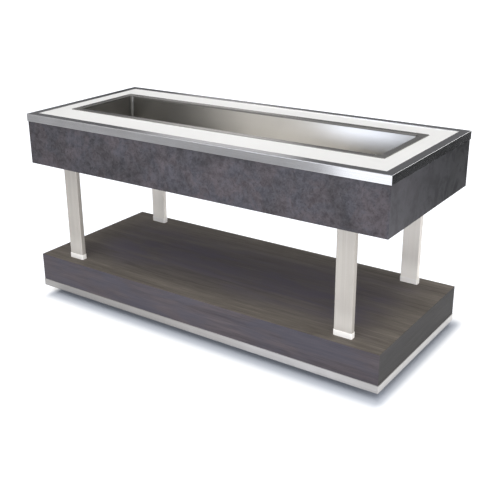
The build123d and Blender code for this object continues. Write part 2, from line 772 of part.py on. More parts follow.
caster_bolts = bolt_set(caster_bolt_spots, plate_bottom, plinth_channel_top)
save(caster_bolts, "caster_bolts")


def channel(x, width, bottom, top, half_run, web_up):
    """A folded channel across the station, with its web on top or underneath."""
    web = top if web_up else bottom
    hollow_shift = -CHANNEL_SHEET if web_up else CHANNEL_SHEET
    with BuildPart() as fold:
        with BuildSketch(Plane.XZ) as section:
            with Locations((x, (bottom + top) / 2)):
                Rectangle(width, top - bottom)
            fillet(section.vertices().filter_by(lambda corner: abs(corner.Y - web) < SLIP), CHANNEL_BEND)
            with Locations((x, (bottom + top) / 2 + hollow_shift)):
                Rectangle(width - 2 * CHANNEL_SHEET, top - bottom, mode=Mode.SUBTRACT)
        extrude(amount=half_run, both=True)
    return fold.part


# Counter channels: the legs bolt up to them, and their turned-up ends screw to the apron
for name, end in ENDS.items():
    with BuildPart() as counter_channel:
        add(
            channel(
                end * leg_x,
                COUNTER_CHANNEL_WIDE,
                counter_channel_bottom,
                counter_channel_top,
                apron_inside_y,
                web_up=False,
            )
        )
        with BuildSketch(Plane.XY.offset(counter_channel_bottom + CHANNEL_SHEET)):
            for face in ENDS.values():
                with Locations((end * leg_x, face * (apron_inside_y - CHANNEL_SHEET / 2))):
                    Rectangle(COUNTER_CHANNEL_WIDE - 2 * CHANNEL_SHEET, CHANNEL_SHEET)
        extrude(amount=COUNTER_CHANNEL_TALL - CHANNEL_SHEET)
        with Locations(*[(x, y, counter_channel_bottom) for x, y in leg_bolt_spots if x * end > 0]):
            Hole(BOLT_HOLE_R)
    save(counter_channel.part, f"counter_channel_{name}")

# Plinth channels: they stand on the base rails, carry the legs and hold the casters under the web
for name, end in ENDS.items():
    with BuildPart() as plinth_channel:
        add(
            channel(
                end * leg_x,
                plinth_channel_wide,
                rail_top,
                plinth_channel_top,
                plinth_inside_y,
                web_up=True,
            )
        )
        with Locations(*[(x, y, plate_top) for x, y in leg_bolt_spots + caster_bolt_spots if x * end > 0]):
            Hole(BOLT_HOLE_R)
    save(plinth_channel.part, f"plinth_channel_{name}")

# Base rails: folded channels round the foot of the plinth, open to the inside
for side in SIDES:
    run, reach = side_run(side, rail_length, rail_depth)
    with BuildPart() as rail:
        with BuildSketch(side_section(side)) as section:
            with Locations((reach, FLOOR_GAP)):
                Rectangle(RAIL_DEEP, RAIL_TALL, align=(Align.MAX, Align.MIN))
            fillet(section.vertices().group_by(Axis.X)[-1], RAIL_BEND)
            with Locations((reach - RAIL_SHEET, FLOOR_GAP + RAIL_SHEET)):
                Rectangle(
                    RAIL_DEEP, RAIL_TALL - 2 * RAIL_SHEET, align=(Align.MAX, Align.MIN), mode=Mode.SUBTRACT
                )
        extrude(amount=run, both=True)
        mitre_ends(side, rail_length, rail_depth)
    save(rail.part, f"base_rail_{side}")

# Plinth boards, mitred to each other and to the shelf board, with a fine groove along the top edge
for side in SIDES:
    run, reach = side_run(side, plinth_length, plinth_depth)
    with BuildPart() as plinth:
        with BuildSketch(side_section(side)):
            with BuildLine():
                Polyline(
                    (reach, rail_top),
                    (reach, shelf_top - ARRIS),
                    (reach - ARRIS, shelf_top - ARRIS),
                    (reach - PLINTH_BOARD, shelf_bottom),
                    (reach - PLINTH_BOARD, rail_top),
                    close=True,
                )
            make_face()
        extrude(amount=run, both=True)
        mitre_ends(side, plinth_length, plinth_depth)
    save(plinth.part, f"plinth_{side}")

with BuildPart() as shelf:
    with BuildSketch(Plane.XY.offset(shelf_top)):
        Rectangle(plinth_length - 2 * ARRIS, plinth_depth - 2 * ARRIS)
    extrude(amount=-ARRIS)
    with BuildSketch(Plane.XY.offset(shelf_top - ARRIS)):
        Rectangle(plinth_length - 2 * ARRIS, plinth_depth - 2 * ARRIS)
    extrude(amount=ARRIS - PLINTH_BOARD, taper=MITRE)
    with BuildSketch(Plane.XY.offset(shelf_top)):
        with Locations(*leg_spots.values()):
            RectangleRounded(
                LEG_WIDE + 2 * PASS_THROUGH, LEG_DEEP + 2 * PASS_THROUGH, LEG_CORNER + PASS_THROUGH
            )
    extrude(amount=-PLINTH_BOARD, mode=Mode.SUBTRACT)
save(shelf.part, "shelf_board")

with BuildPart() as ribs:
    with BuildSketch(Plane.XY.offset(rail_top)):
        with GridLocations(RIB_PITCH, 0, RIB_COUNT, 1):
            Rectangle(RIB_THICK, 2 * plinth_inside_y)
    extrude(amount=shelf_bottom - rail_top)
save(ribs.part, "shelf_ribs")

# Caster plates, each with its bearing race and riveted king pin
with BuildPart() as plates:
    with BuildSketch(Plane.XY.offset(plate_bottom)):
        with Locations(*caster_spots.values()):
            RectangleRounded(CASTER_PLATE_LONG, CASTER_PLATE_WIDE, CASTER_PLATE_CORNER)
        with Locations(*caster_bolt_spots):
            Circle(BOLT_HOLE_R, mode=Mode.SUBTRACT)
    extrude(amount=CASTER_PLATE_THICK)
    for radius, top, bottom in (
        (RACE_R, plate_bottom, race_bottom),
        (KINGPIN_R, race_bottom, pin_head_top),
        (KINGPIN_HEAD_R, pin_head_top, pin_head_top - KINGPIN_HEAD),
    ):
        with BuildSketch(Plane.XY.offset(top)):
            with Locations(*caster_spots.values()):
                Circle(radius)
        extrude(amount=bottom - top)
save(plates.part, "caster_plates")


def caster_fork(braked):
    """A pressed fork, with the king pin on Z: a round crown and two cheeks that trail to the axle."""
    with BuildPart() as fork:
        with BuildSketch(Plane.XY.offset(crown_bottom)):
            Circle(CROWN_R)
        extrude(amount=CROWN_THICK)
        fillet(fork.faces().sort_by(Axis.Z)[-1].edges(), CROWN_EDGE)
        foot_spots = [(axle_spot, CHEEK_FOOT_R, AXLE_R)]
        if braked:
            foot_spots.append((brake_spot, BRAKE_LUG_R, BRAKE_PIN_R))
        for face in ENDS.values():
            cheek_plane = Plane.XZ.offset(face * CHEEK_GAP / 2)
            for spot, lug_r, pin_r in foot_spots:
                with BuildSketch(cheek_plane):
                    with Locations((0, crown_bottom + CROWN_THICK / 2)):
                        Rectangle(CHEEK_TOP_LONG, CROWN_THICK)
                    with Locations(spot):
                        Circle(lug_r)
                    make_hull()
                extrude(amount=face * CHEEK_THICK)
            for spot, lug_r, pin_r in foot_spots:
                with BuildSketch(cheek_plane):
                    with Locations(spot):
                        Circle(pin_r + RUNNING)
                extrude(amount=face * CHEEK_THICK, mode=Mode.SUBTRACT)
        with BuildSketch(Plane.XY.offset(crown_bottom)):
            Circle(KINGPIN_R + RUNNING)
        extrude(amount=CROWN_THICK, mode=Mode.SUBTRACT)
    return fork.part


# Wheel: crowned tyre on a rim, thin web with spokes on both sides, and a hub wider than the tyre
rim_r = WHEEL_R - TYRE_DEEP
with BuildPart() as wheel:
    with BuildSketch(Plane.YZ.offset(-TRAIL)):
        with BuildLine():
            half = Polyline(
                (0, WHEEL_R + AXLE_R + RUNNING),
                (HUB_WIDE / 2, WHEEL_R + AXLE_R + RUNNING),
                (HUB_WIDE / 2, WHEEL_R + HUB_R),
                (WEB_THICK / 2, WHEEL_R + HUB_R),
                (WEB_THICK / 2, WHEEL_R + rim_r),
                (WHEEL_WIDE / 2, WHEEL_R + rim_r),
                (WHEEL_WIDE / 2, 2 * WHEEL_R - TREAD_CROWN),
            )
            mirror(half, about=Plane.YZ)
            ThreePointArc(
                (WHEEL_WIDE / 2, 2 * WHEEL_R - TREAD_CROWN),
                (0, 2 * WHEEL_R),
                (-WHEEL_WIDE / 2, 2 * WHEEL_R - TREAD_CROWN),
            )
        make_face()
    revolve(axis=Axis((-TRAIL, 0, WHEEL_R), (0, 1, 0)))
    with BuildSketch(Plane.XZ):
        with Locations(axle_spot):
            with PolarLocations((HUB_R + rim_r) / 2, SPOKE_COUNT):
                Rectangle(rim_r - HUB_R + SPOKE_THICK, SPOKE_THICK)
    extrude(amount=WHEEL_WIDE / 2 - SPOKE_INSET, both=True)

# Axle: a bolt through both cheeks and the wheel, with its nut
cheek_outside = CHEEK_GAP / 2 + CHEEK_THICK
with BuildPart() as axle:
    with BuildSketch(Plane.XZ):
        with Locations(axle_spot):
            Circle(AXLE_R)
    extrude(amount=cheek_outside, both=True)
    for face in ENDS.values():
        with BuildSketch(Plane.XZ.offset(face * cheek_outside)):
            with Locations(axle_spot):
                RegularPolygon(AXLE_FLATS / 2, HEX_SIDES, major_radius=False)
        extrude(amount=face * AXLE_HEAD)

# Brake pedal: hub on two pins, a tread plate to the back and a shoe that swings against the tyre
shoe_angle = brake_pin_angle + math.radians(BRAKE_SWING)
shoe_tip = (
    brake_spot[0] + BRAKE_SHOE_LONG * math.cos(shoe_angle),
    brake_spot[1] - BRAKE_SHOE_LONG * math.sin(shoe_angle),
)
with BuildPart() as brake:
    for spot, round_r in ((pedal_tip, BRAKE_PEDAL_R), (shoe_tip, BRAKE_SHOE_R)):
        with BuildSketch(Plane.XZ):
            with Locations(brake_spot):
                Circle(BRAKE_HUB_R)
            with Locations(spot):
                Circle(round_r)
            make_hull()
        extrude(amount=pedal_half, both=True)
    with BuildSketch(Plane.XZ):
        with Locations(brake_spot):
            Circle(BRAKE_PIN_R)
    extrude(amount=cheek_outside, both=True)

plain_fork = caster_fork(braked=False)
braked_fork = caster_fork(braked=True)
for name, (x, y) in caster_spots.items():
    place = Location((x, y, 0))
    braked = name.startswith("front")
    save((braked_fork if braked else plain_fork).moved(place), f"caster_fork_{name}")
    save(wheel.part.moved(place), f"caster_wheel_{name}")
    save(axle.part.moved(place), f"caster_axle_{name}")
    if braked:
        save(brake.part.moved(place), f"caster_brake_{name}")
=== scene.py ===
"""Looks of the buffet station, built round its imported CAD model.

Everything is in metres. +X runs along the counter, the front faces -Y and +Z is up.
"""

import math

import bmesh
import bpy
from mathutils import Matrix, Vector


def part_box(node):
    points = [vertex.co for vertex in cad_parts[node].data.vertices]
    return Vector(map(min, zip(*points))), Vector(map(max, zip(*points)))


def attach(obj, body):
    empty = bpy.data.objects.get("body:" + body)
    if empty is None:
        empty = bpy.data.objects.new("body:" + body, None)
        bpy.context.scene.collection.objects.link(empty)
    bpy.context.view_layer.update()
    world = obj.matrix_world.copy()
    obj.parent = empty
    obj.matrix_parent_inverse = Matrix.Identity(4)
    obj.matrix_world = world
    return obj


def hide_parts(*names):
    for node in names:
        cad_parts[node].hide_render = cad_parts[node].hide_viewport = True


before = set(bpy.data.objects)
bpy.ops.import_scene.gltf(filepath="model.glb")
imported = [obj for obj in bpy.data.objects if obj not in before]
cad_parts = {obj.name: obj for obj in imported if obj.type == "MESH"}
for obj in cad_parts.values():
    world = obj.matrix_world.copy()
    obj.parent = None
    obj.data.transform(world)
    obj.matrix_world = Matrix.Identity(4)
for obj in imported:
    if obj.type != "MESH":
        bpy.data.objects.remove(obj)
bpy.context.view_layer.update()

# Plinth channels: two steel channels stand on the base rails and carry the legs and the casters.
# They are folded from hot-dip galvanised sheet, so the zinc shows as broad crystals over a dull grey.


class Wire:
    """An output in a node tree. Arithmetic on it adds Math nodes to that tree."""

    def __init__(self, owner, socket):
        self.owner = owner
        self.socket = socket

    def math(self, operation, first, second=0.0):
        return self.owner.node("ShaderNodeMath", {"operation": operation}, {0: first, 1: second})

    def __add__(self, other):
        return self.math("ADD", self, other)

    def __sub__(self, other):
        return self.math("SUBTRACT", self, other)

    def __rsub__(self, other):
        return self.math("SUBTRACT", other, self)

    def __mul__(self, other):
        return self.math("MULTIPLY", self, other)

    def __truediv__(self, other):
        return self.math("DIVIDE", self, other)

    def __mod__(self, other):
        return self.math("FLOORED_MODULO", self, other)

    def __gt__(self, other):
        return self.math("GREATER_THAN", self, other)

    def __lt__(self, other):
        return self.math("LESS_THAN", self, other)

    def __abs__(self):
        return self.math("ABSOLUTE", self)

    def root(self):
        return self.math("SQRT", self)

    def least(self, other):
        return self.math("MINIMUM", self, other)

    def most(self, other):
        return self.math("MAXIMUM", self, other)

    __radd__ = __add__
    __rmul__ = __mul__


class Nodes:
    """Adds nodes to a tree: its settings first, then the values or links of its sockets."""

    def node(self, kind, settings, sockets, out=0):
        made = self.tree.nodes.new(kind)
        for key, value in settings.items():
            if key == "stops":
                ramp = made.color_ramp.elements
                for _ in range(len(value) - len(ramp)):
                    ramp.new(1.0)
                for element, (position, colour) in zip(ramp, value):
                    element.position = position
                    element.color = (*colour, 1.0)
            else:
                setattr(made, key, value)
        for key, value in sockets.items():
            for one in value if isinstance(value, list) else [value]:
                if isinstance(one, Wire):
                    self.tree.links.new(one.socket, made.inputs[key])
                else:
                    made.inputs[key].default_value = one
        if isinstance(out, tuple):
            return [Wire(self, made.outputs[each]) for each in out]
        return Wire(self, made.outputs[out])


class Finish(Nodes):
    """A material under construction. Its patterns read the place on the piece, in metres."""

    def __init__(self, name):
        self.material = bpy.data.materials.new(name)
        self.material.use_nodes = True
        self.tree = self.material.node_tree
        self.tree.nodes.clear()
        self.at = self.node("ShaderNodeTexCoord", {}, {}, "Object")
        self.x, self.y, self.z = self.node("ShaderNodeSeparateXYZ", {}, {0: self.at}, (0, 1, 2))

    def facing(self):
        """The three parts of the surface normal, in the piece's own axes."""
        normal = self.node("ShaderNodeTexCoord", {}, {}, "Normal")
        return self.node("ShaderNodeSeparateXYZ", {}, {0: normal}, (0, 1, 2))

    def noise(self, per_metre, detail=3.0, roughness=0.55, distortion=0.0):
        """Cloudy noise, with its own number of cycles per metre along each axis."""
        cycles = per_metre if isinstance(per_metre, tuple) else (per_metre,) * 3
        place = self.node("ShaderNodeVectorMath", {"operation": "MULTIPLY"}, {0: self.at, 1: cycles})
        sockets = {"Vector": place, "Scale": 1.0, "Detail": detail, "Roughness": roughness}
        return self.node("ShaderNodeTexNoise", {}, {**sockets, "Distortion": distortion})

    def cells(self, per_metre, out="Distance"):
        """Cells with a centre each, as crystals and chips have."""
        return self.node("ShaderNodeTexVoronoi", {}, {"Vector": self.at, "Scale": per_metre}, out)

    def soft(self, value, low, high):
        """0 below low, 1 above high, and smooth between."""
        settings = {"interpolation_type": "SMOOTHSTEP"}
        return self.node("ShaderNodeMapRange", settings, {"Value": value, "From Min": low, "From Max": high})

    def ramp(self, value, *stops):
        """A colour read off along a row of stops, each a place from 0 to 1 and its colour."""
        return self.node("ShaderNodeValToRGB", {"stops": stops}, {"Fac": value})

    def blend(self, share, first, second):
        """A colour between two, either of them a wire or plain numbers."""
        colours = [c if isinstance(c, Wire) else (*c, 1.0) for c in (first, second)]
        return self.node("ShaderNodeMix", {"data_type": "RGBA"}, {0: share, 6: colours[0], 7: colours[1]}, 2)

    def surface(self, height, depth, **sockets):
        """A shader whose height is raised by up to depth, in metres."""
        values = {key.replace("_", " "): value for key, value in sockets.items()}
        values["Normal"] = self.node("ShaderNodeBump", {}, {"Height": height, "Distance": depth})
        return self.node("ShaderNodeBsdfPrincipled", {}, values)

    def finished(self, shader):
        self.node("ShaderNodeOutputMaterial", {}, {"Surface": shader}, ())
        return self.material

    def close(self, height, depth, **sockets):
        """Ends the material in one shader."""
        return self.finished(self.surface(height, depth, **sockets))


def paint(material, *names):
    """Give CAD nodes their material."""
    for name in names:
        for material_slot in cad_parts[name].material_slots:
            material_slot.material = material


def galvanised_sheet():
    sheet = Finish("galvanised_sheet")
    crystal = sheet.node("ShaderNodeSeparateColor", {}, {0: sheet.cells(85.0, "Color")})
    haze = sheet.noise(13.0, 4.0)
    tone = crystal * 0.6 + haze * 0.4
    dull_and_shade, grey, bright = (0.36, 0.38, 0.39), (0.47, 0.49, 0.5), (0.6, 0.62, 0.64)
    colour = sheet.ramp(tone, (0.2, dull_and_shade), (0.55, grey), (0.85, bright))
    shine = 0.34 + 0.2 * crystal + 0.12 * haze
    return sheet.close(tone, 0.00004, Base_Color=colour, Metallic=0.95, Roughness=shine)


zinc_sheet = galvanised_sheet()
paint(zinc_sheet, "plinth_channel_left", "plinth_channel_right")

# Caster plates: pressed steel plates with a bearing race and a riveted king pin, bolted under the channels.
# They are bright zinc plated, which leaves a faint straw tint and a cloudy shine.


def zinc_plating():
    plating = Finish("zinc_plating")
    cloud = plating.noise(38.0, 4.0, distortion=0.5)
    fleck = plating.noise(900.0, 2.0)
    blue, bright, straw = (0.46, 0.47, 0.49), (0.6, 0.61, 0.62), (0.66, 0.63, 0.56)
    colour = plating.ramp(cloud, (0.3, blue), (0.52, bright), (0.75, straw))
    shine = 0.24 + 0.16 * cloud + 0.06 * fleck
    skin = cloud * 0.4 + fleck * 0.6
    return plating.close(skin, 0.00003, Base_Color=colour, Metallic=1.0, Roughness=shine)


zinc = zinc_plating()
paint(zinc, "caster_plates")

# Caster bolts: flanged hexagon bolts, four to a plate, with their nuts on top of the channel.
# The heads and nuts are cold formed with a round washer face, and zinc plated like the plates.


class Pattern(Nodes):
    """A Geometry Nodes tree with named sizes, which makes a finished mesh at the places that it is given."""

    def __init__(self, name, **sizes):
        self.tree = bpy.data.node_groups.new(name, "GeometryNodeTree")
        self.sizes = {key.replace("_", " "): value for key, value in sizes.items()}
        sockets = self.tree.interface
        sockets.new_socket("Mesh", in_out="OUTPUT", socket_type="NodeSocketGeometry")
        sockets.new_socket("Places", in_out="INPUT", socket_type="NodeSocketGeometry")
        for label, value in self.sizes.items():
            kind = "NodeSocketInt" if isinstance(value, int) else "NodeSocketFloat"
            sockets.new_socket(label, in_out="INPUT", socket_type=kind)
        self.given = self.tree.nodes.new("NodeGroupInput")
        self.places = self.size("Places")

    def size(self, label):
        return Wire(self, self.given.outputs[label])

    def moved(self, shape, x=0.0, z=0.0):
        shift = self.node("ShaderNodeCombineXYZ", {}, {0: x, 2: z})
        return self.node("GeometryNodeTransform", {}, {"Geometry": shape, "Translation": shift})

    def drum(self, sides, bottom_r, top_r, bottom, tall):
        """A round or hexagonal drum that stands on the level bottom."""
        sockets = {"Vertices": sides, "Radius Bottom": bottom_r, "Radius Top": top_r, "Depth": tall}
        return self.moved(self.node("GeometryNodeMeshCone", {}, sockets), z=bottom)

    def join(self, *shapes):
        return self.node("GeometryNodeJoinGeometry", {}, {0: list(shapes)})

    def repeat(self, shape, points, **sockets):
        sockets = {"Points": points, "Instance": shape, **sockets}
        return self.node("GeometryNodeInstanceOnPoints", {}, sockets)

    def tilt(self, angle):
        """A turn about X, by radians."""
        turn = self.node("ShaderNodeCombineXYZ", {}, {0: angle})
        return self.node("FunctionNodeEulerToRotation", {}, {0: turn})

    def close(self, shape, material):
        """Ends the tree in one mesh of this material."""
        real = self.node("GeometryNodeRealizeInstances", {}, {0: shape})
        painted = self.node("GeometryNodeSetMaterial", {}, {"Geometry": real, "Material": material})
        self.node("NodeGroupOutput", {}, {0: painted}, ())
        return self

    def mesh(self, points, **changes):
        """The plain mesh that this pattern makes at these points."""
        sizes = {**self.sizes, **{key.replace("_", " "): value for key, value in changes.items()}}
        seed = bpy.data.meshes.new("places")
        seed.from_pydata(points, [], [])
        holder = bpy.data.objects.new("places", seed)
        bpy.context.collection.objects.link(holder)
        modifier = holder.modifiers.new("pattern", "NODES")
        modifier.node_group = self.tree
        for item in self.tree.interface.items_tree:
            if item.in_out == "INPUT" and item.name in sizes:
                modifier[item.identifier] = sizes[item.name]
        graph = bpy.context.evaluated_depsgraph_get()
        made = bpy.data.meshes.new_from_object(holder.evaluated_get(graph), depsgraph=graph)
        bpy.data.objects.remove(holder)
        return made


def piece(name, mesh, body, slot, *stands_for):
    """Puts a finished mesh in the scene and ties it to its body; its material slot is not used."""
    made = bpy.data.objects.new(name, mesh)
    bpy.context.collection.objects.link(made)
    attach(made, body)
    if stands_for:
        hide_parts(*stands_for)
    return made


def bolt_pattern():
    """A bolt with its nut. Heads above the turning level point down."""
    bolt = Pattern(
        "flanged_bolts",
        Hexagon=0.0075,
        Head=0.0053,
        Shank=0.004,
        Grip=0.009,
        Nut=0.0065,
        Flange=0.0088,
        Flange_height=0.0013,
        Tail=0.0022,
        Turning_level=0.4,
    )
    hexagon, shank, grip = bolt.size("Hexagon"), bolt.size("Shank"), bolt.size("Grip")
    flange, lip = bolt.size("Flange"), bolt.size("Flange height")
    head, nut, tail = bolt.size("Head"), bolt.size("Nut"), bolt.size("Tail")
    around, along_shank, flats = 32, 20, 6
    taper, chamfer = 0.86, 0.82
    head_top, nut_top = head * chamfer, nut * chamfer
    below = -1.0 * grip
    shape = bolt.join(
        bolt.drum(around, flange, flange * taper, 0.0, lip),
        bolt.drum(flats, hexagon, hexagon, 0.0, head_top),
        bolt.drum(flats, hexagon, hexagon * chamfer, head_top, head - head_top),
        bolt.drum(along_shank, shank, shank, below, grip),
        bolt.drum(around, flange * taper, flange, below - lip, lip),
        bolt.drum(flats, hexagon, hexagon, below - nut_top, nut_top),
        bolt.drum(flats, hexagon * chamfer, hexagon, below - nut, nut - nut_top),
        bolt.drum(along_shank, shank * chamfer, shank, below - nut - tail, tail),
    )
    place = bolt.node("GeometryNodeInputPosition", {}, {})
    level = bolt.node("ShaderNodeSeparateXYZ", {}, {0: place}, 2)
    turn = bolt.tilt((level > bolt.size("Turning level")) * math.pi)
    return bolt.close(bolt.repeat(shape, bolt.places, Rotation=turn), zinc)


CORNERS = {"front_left": (-1, -1), "front_right": (1, -1), "back_left": (-1, 1), "back_right": (1, 1)}
leg_boxes = {name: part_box(f"leg_{name}") for name in CORNERS}
leg_centres = {name: (Vector(low) + Vector(high)) / 2 for name, (low, high) in leg_boxes.items()}
CASTER_Y = 0.225
caster_centres = {
    name: Vector((leg_centres[name].x, sy * CASTER_Y, 0.0)) for name, (_, sy) in CORNERS.items()
}


def four_round(centres, half_x, half_y, level):
    """Four places round each centre."""
    return [
        (centre.x + sx * half_x, centre.y + sy * half_y, level)
        for centre in centres.values()
        for sx, sy in CORNERS.values()
    ]


flanged_bolts = bolt_pattern()
CASTER_PLATE_BOTTOM, PLATE_AND_CHANNEL = 0.094, 0.006
CASTER_BOLT_HALF_X, CASTER_BOLT_HALF_Y = 0.0375, 0.0225
caster_bolt_places = four_round(caster_centres, CASTER_BOLT_HALF_X, CASTER_BOLT_HALF_Y, CASTER_PLATE_BOTTOM)
caster_bolts = flanged_bolts.mesh(caster_bolt_places, Grip=PLATE_AND_CHANNEL, Turning_level=0.0)
piece("plate_bolts", caster_bolts, "station", "zinc_steel", "caster_bolts")

# Caster forks and axles: a pressed crown with two cheeks that trail to a hexagon-headed axle bolt.
# Both are plated, and the crown turns on balls under the plate's race.
for name in CORNERS:
    paint(zinc, f"caster_fork_{name}", f"caster_axle_{name}")

# Wheels: a grey rubber tyre moulded on a ribbed nylon centre, with a plain bore on the axle.
# The tread has two shallow grooves, and dust off the floor has greyed the rubber in patches.


def tyre_rubber():
    rubber = Finish("tyre_rubber")
    grain = rubber.noise(1500.0, 2.0)
    dust = rubber.soft(rubber.noise(60.0, 5.0, 0.65), 0.45, 0.75)
    colour = rubber.blend(dust * 0.5, (0.045, 0.046, 0.048), (0.17, 0.165, 0.155))
    return rubber.close(grain, 0.00006, Base_Color=colour, Roughness=0.62 + 0.2 * dust + 0.1 * grain)


def wheel_nylon():
    nylon = Finish("wheel_nylon")
    flow = nylon.noise((30.0, 160.0, 30.0), 3.0)
    scuff = nylon.soft(nylon.noise(240.0, 4.0), 0.55, 0.72)
    colour = nylon.blend(flow, (0.3, 0.31, 0.32), (0.39, 0.4, 0.41))
    return nylon.close(
        flow * 0.5 + scuff * 0.5,
        0.00005,
        Base_Color=nylon.blend(scuff * 0.35, colour, (0.2, 0.2, 0.2)),
        Roughness=0.42 + 0.18 * scuff,
    )


def turned(profile, sides, material):
    """A closed ring about the Y axis, from points of (radius, y) taken round its section."""
    shape = bmesh.new()
    rings = []
    for step in range(sides):
        angle = math.tau * step / sides
        ring = [shape.verts.new((r * math.sin(angle), y, r * math.cos(angle))) for r, y in profile]
        rings.append(ring)
    for first, second in zip(rings, rings[1:] + rings[:1]):
        for i in range(len(profile)):
            j = (i + 1) % len(profile)
            shape.faces.new((first[i], first[j], second[j], second[i]))
    bmesh.ops.recalc_face_normals(shape, faces=shape.faces)
    made = bpy.data.meshes.new("turned")
    shape.to_mesh(made)
    shape.free()
    made.materials.append(material)
    return made


def both_sides(half):
    """A section's points from its middle plane outwards, and the same points on the far side."""
    return [*half, *[(r, -y) for r, y in reversed(half) if y]]


def rib_pattern(material):
    """Ribs between the hub and the rim of a wheel, set round its axle."""
    ribs = Pattern("wheel_ribs", Count=10, Inside=0.0105, Long=0.0195, High=0.02, Thick=0.0022)
    long = ribs.size("Long")
    bar = ribs.node("ShaderNodeCombineXYZ", {}, {0: long, 1: ribs.size("High"), 2: ribs.size("Thick")})
    rib = ribs.node("GeometryNodeMeshCube", {}, {"Size": bar})
    rib = ribs.moved(rib, x=ribs.size("Inside") + long * 0.5)
    points = ribs.node("GeometryNodePoints", {}, {"Count": ribs.size("Count")})
    number = ribs.node("GeometryNodeInputIndex", {}, {})
    turn = ribs.node("ShaderNodeCombineXYZ", {}, {1: number * math.tau / ribs.size("Count")})
    turn = ribs.node("FunctionNodeEulerToRotation", {}, {0: turn})
    spider = ribs.repeat(rib, points, Rotation=turn)
    return ribs.close(ribs.repeat(spider, ribs.places), material)


def joined(*meshes):
    """Several meshes as one, with the first one's materials."""
    shape = bmesh.new()
    for each in meshes:
        shape.from_mesh(each)
    made = meshes[0].copy()
    shape.to_mesh(made)
    shape.free()
    return made


rubber = tyre_rubber()
nylon = wheel_nylon()
TYRE_HALF = [
    (0.0375, 0.0),
    (0.03735, 0.0034),
    (0.0367, 0.0037),
    (0.0367, 0.0047),
    (0.0372, 0.005),
    (0.0368, 0.0085),
    (0.036, 0.0106),
    (0.0343, 0.0118),
    (0.0318, 0.012),
    (0.0301, 0.0117),
    (0.0294, 0.011),
]
CENTRE_HALF = [
    (0.0297, 0.0),
    (0.0297, 0.0114),
    (0.029, 0.0118),
    (0.0278, 0.0118),
    (0.0272, 0.0112),
    (0.027, 0.003),
    (0.0122, 0.003),
    (0.0112, 0.0128),
    (0.0105, 0.0135),
    (0.0062, 0.0135),
    (0.0058, 0.0128),
    (0.00405, 0.0128),
]
TYRE_SIDES, CENTRE_SIDES = 72, 48
tyre = turned(both_sides(TYRE_HALF), TYRE_SIDES, rubber)
wheel_ribs = rib_pattern(nylon).mesh([(0, 0, 0)])
wheel_centre = joined(turned(both_sides(CENTRE_HALF), CENTRE_SIDES, nylon), wheel_ribs)
TRAIL, WHEEL_R = 0.028, 0.0375
for name, centre in caster_centres.items():
    to_axle = Matrix.Translation(centre + Vector((-TRAIL, 0, WHEEL_R)))
    for label, mesh in (("tyre", tyre), ("wheel_centre", wheel_centre)):
        mine = mesh.copy()
        mine.transform(to_axle)
        made = piece(f"{label}_{name}", mine, f"roller_{name}", "caster_rubber")
        if label == "tyre":
            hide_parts(f"caster_wheel_{name}")

# Brake pedals: a pressed steel pedal on two pins in the front forks, with a shoe that bears on the tyre.
# Four raised bars across the tread plate keep a foot from slipping.


def bar_pattern():
    """Round bars that lie across the pedal, along Y."""
    bars = Pattern("pedal_bars", Sides=14, Radius=0.001, Long=0.026)
    sockets = {"Vertices": bars.size("Sides"), "Radius": bars.size("Radius"), "Depth": bars.size("Long")}
    rod = bars.node("GeometryNodeMeshCylinder", {}, sockets)
    return bars.close(bars.repeat(rod, bars.places, Rotation=bars.tilt(math.pi / 2)), zinc)


pedal_bars = bar_pattern()
PEDAL_FROM, PEDAL_TO = Vector((-0.0572, 0, 0.0775)), Vector((-0.0857, 0, 0.082))
BAR_PLACES = (0.5, 0.64, 0.78, 0.92)
for name in ("front_left", "front_right"):
    paint(zinc, f"caster_brake_{name}")
    places = [caster_centres[name] + PEDAL_FROM.lerp(PEDAL_TO, share) for share in BAR_PLACES]
    piece(f"pedal_bars_{name}", pedal_bars.mesh(places), f"pedal_{name}", "zinc_steel")

# Base rails: folded stainless channels round the foot of the plinth, open to the inside and mitred.
# The face is belt brushed along its length, the bends are rougher and darkened with painted shade that dims
# their highlight, and shoes and mops have scuffed both.
# The grey is painted shade on the folds and the white is painted light at the foot; the brown is real
# scuffing.
PAINTED_FOLD_SHADE, PAINTED_FOOT_LIGHT, SCUFF_BROWN = (0.1, 0.1, 0.1), (0.92, 0.88, 0.82), (0.16, 0.15, 0.14)
FOLD_STARTS, FOLD_ENDS = (0.02, 0.1), (0.97, 0.995)
FOOT_LEVELS = (0.23, 0.33)
QUARTER_TURN = 0.25
X, Y, Z = range(3)


def stretched(axis, along, across):
    """Cycles per metre of a pattern that is drawn out along one axis."""
    return tuple(along if each == axis else across for each in range(3))


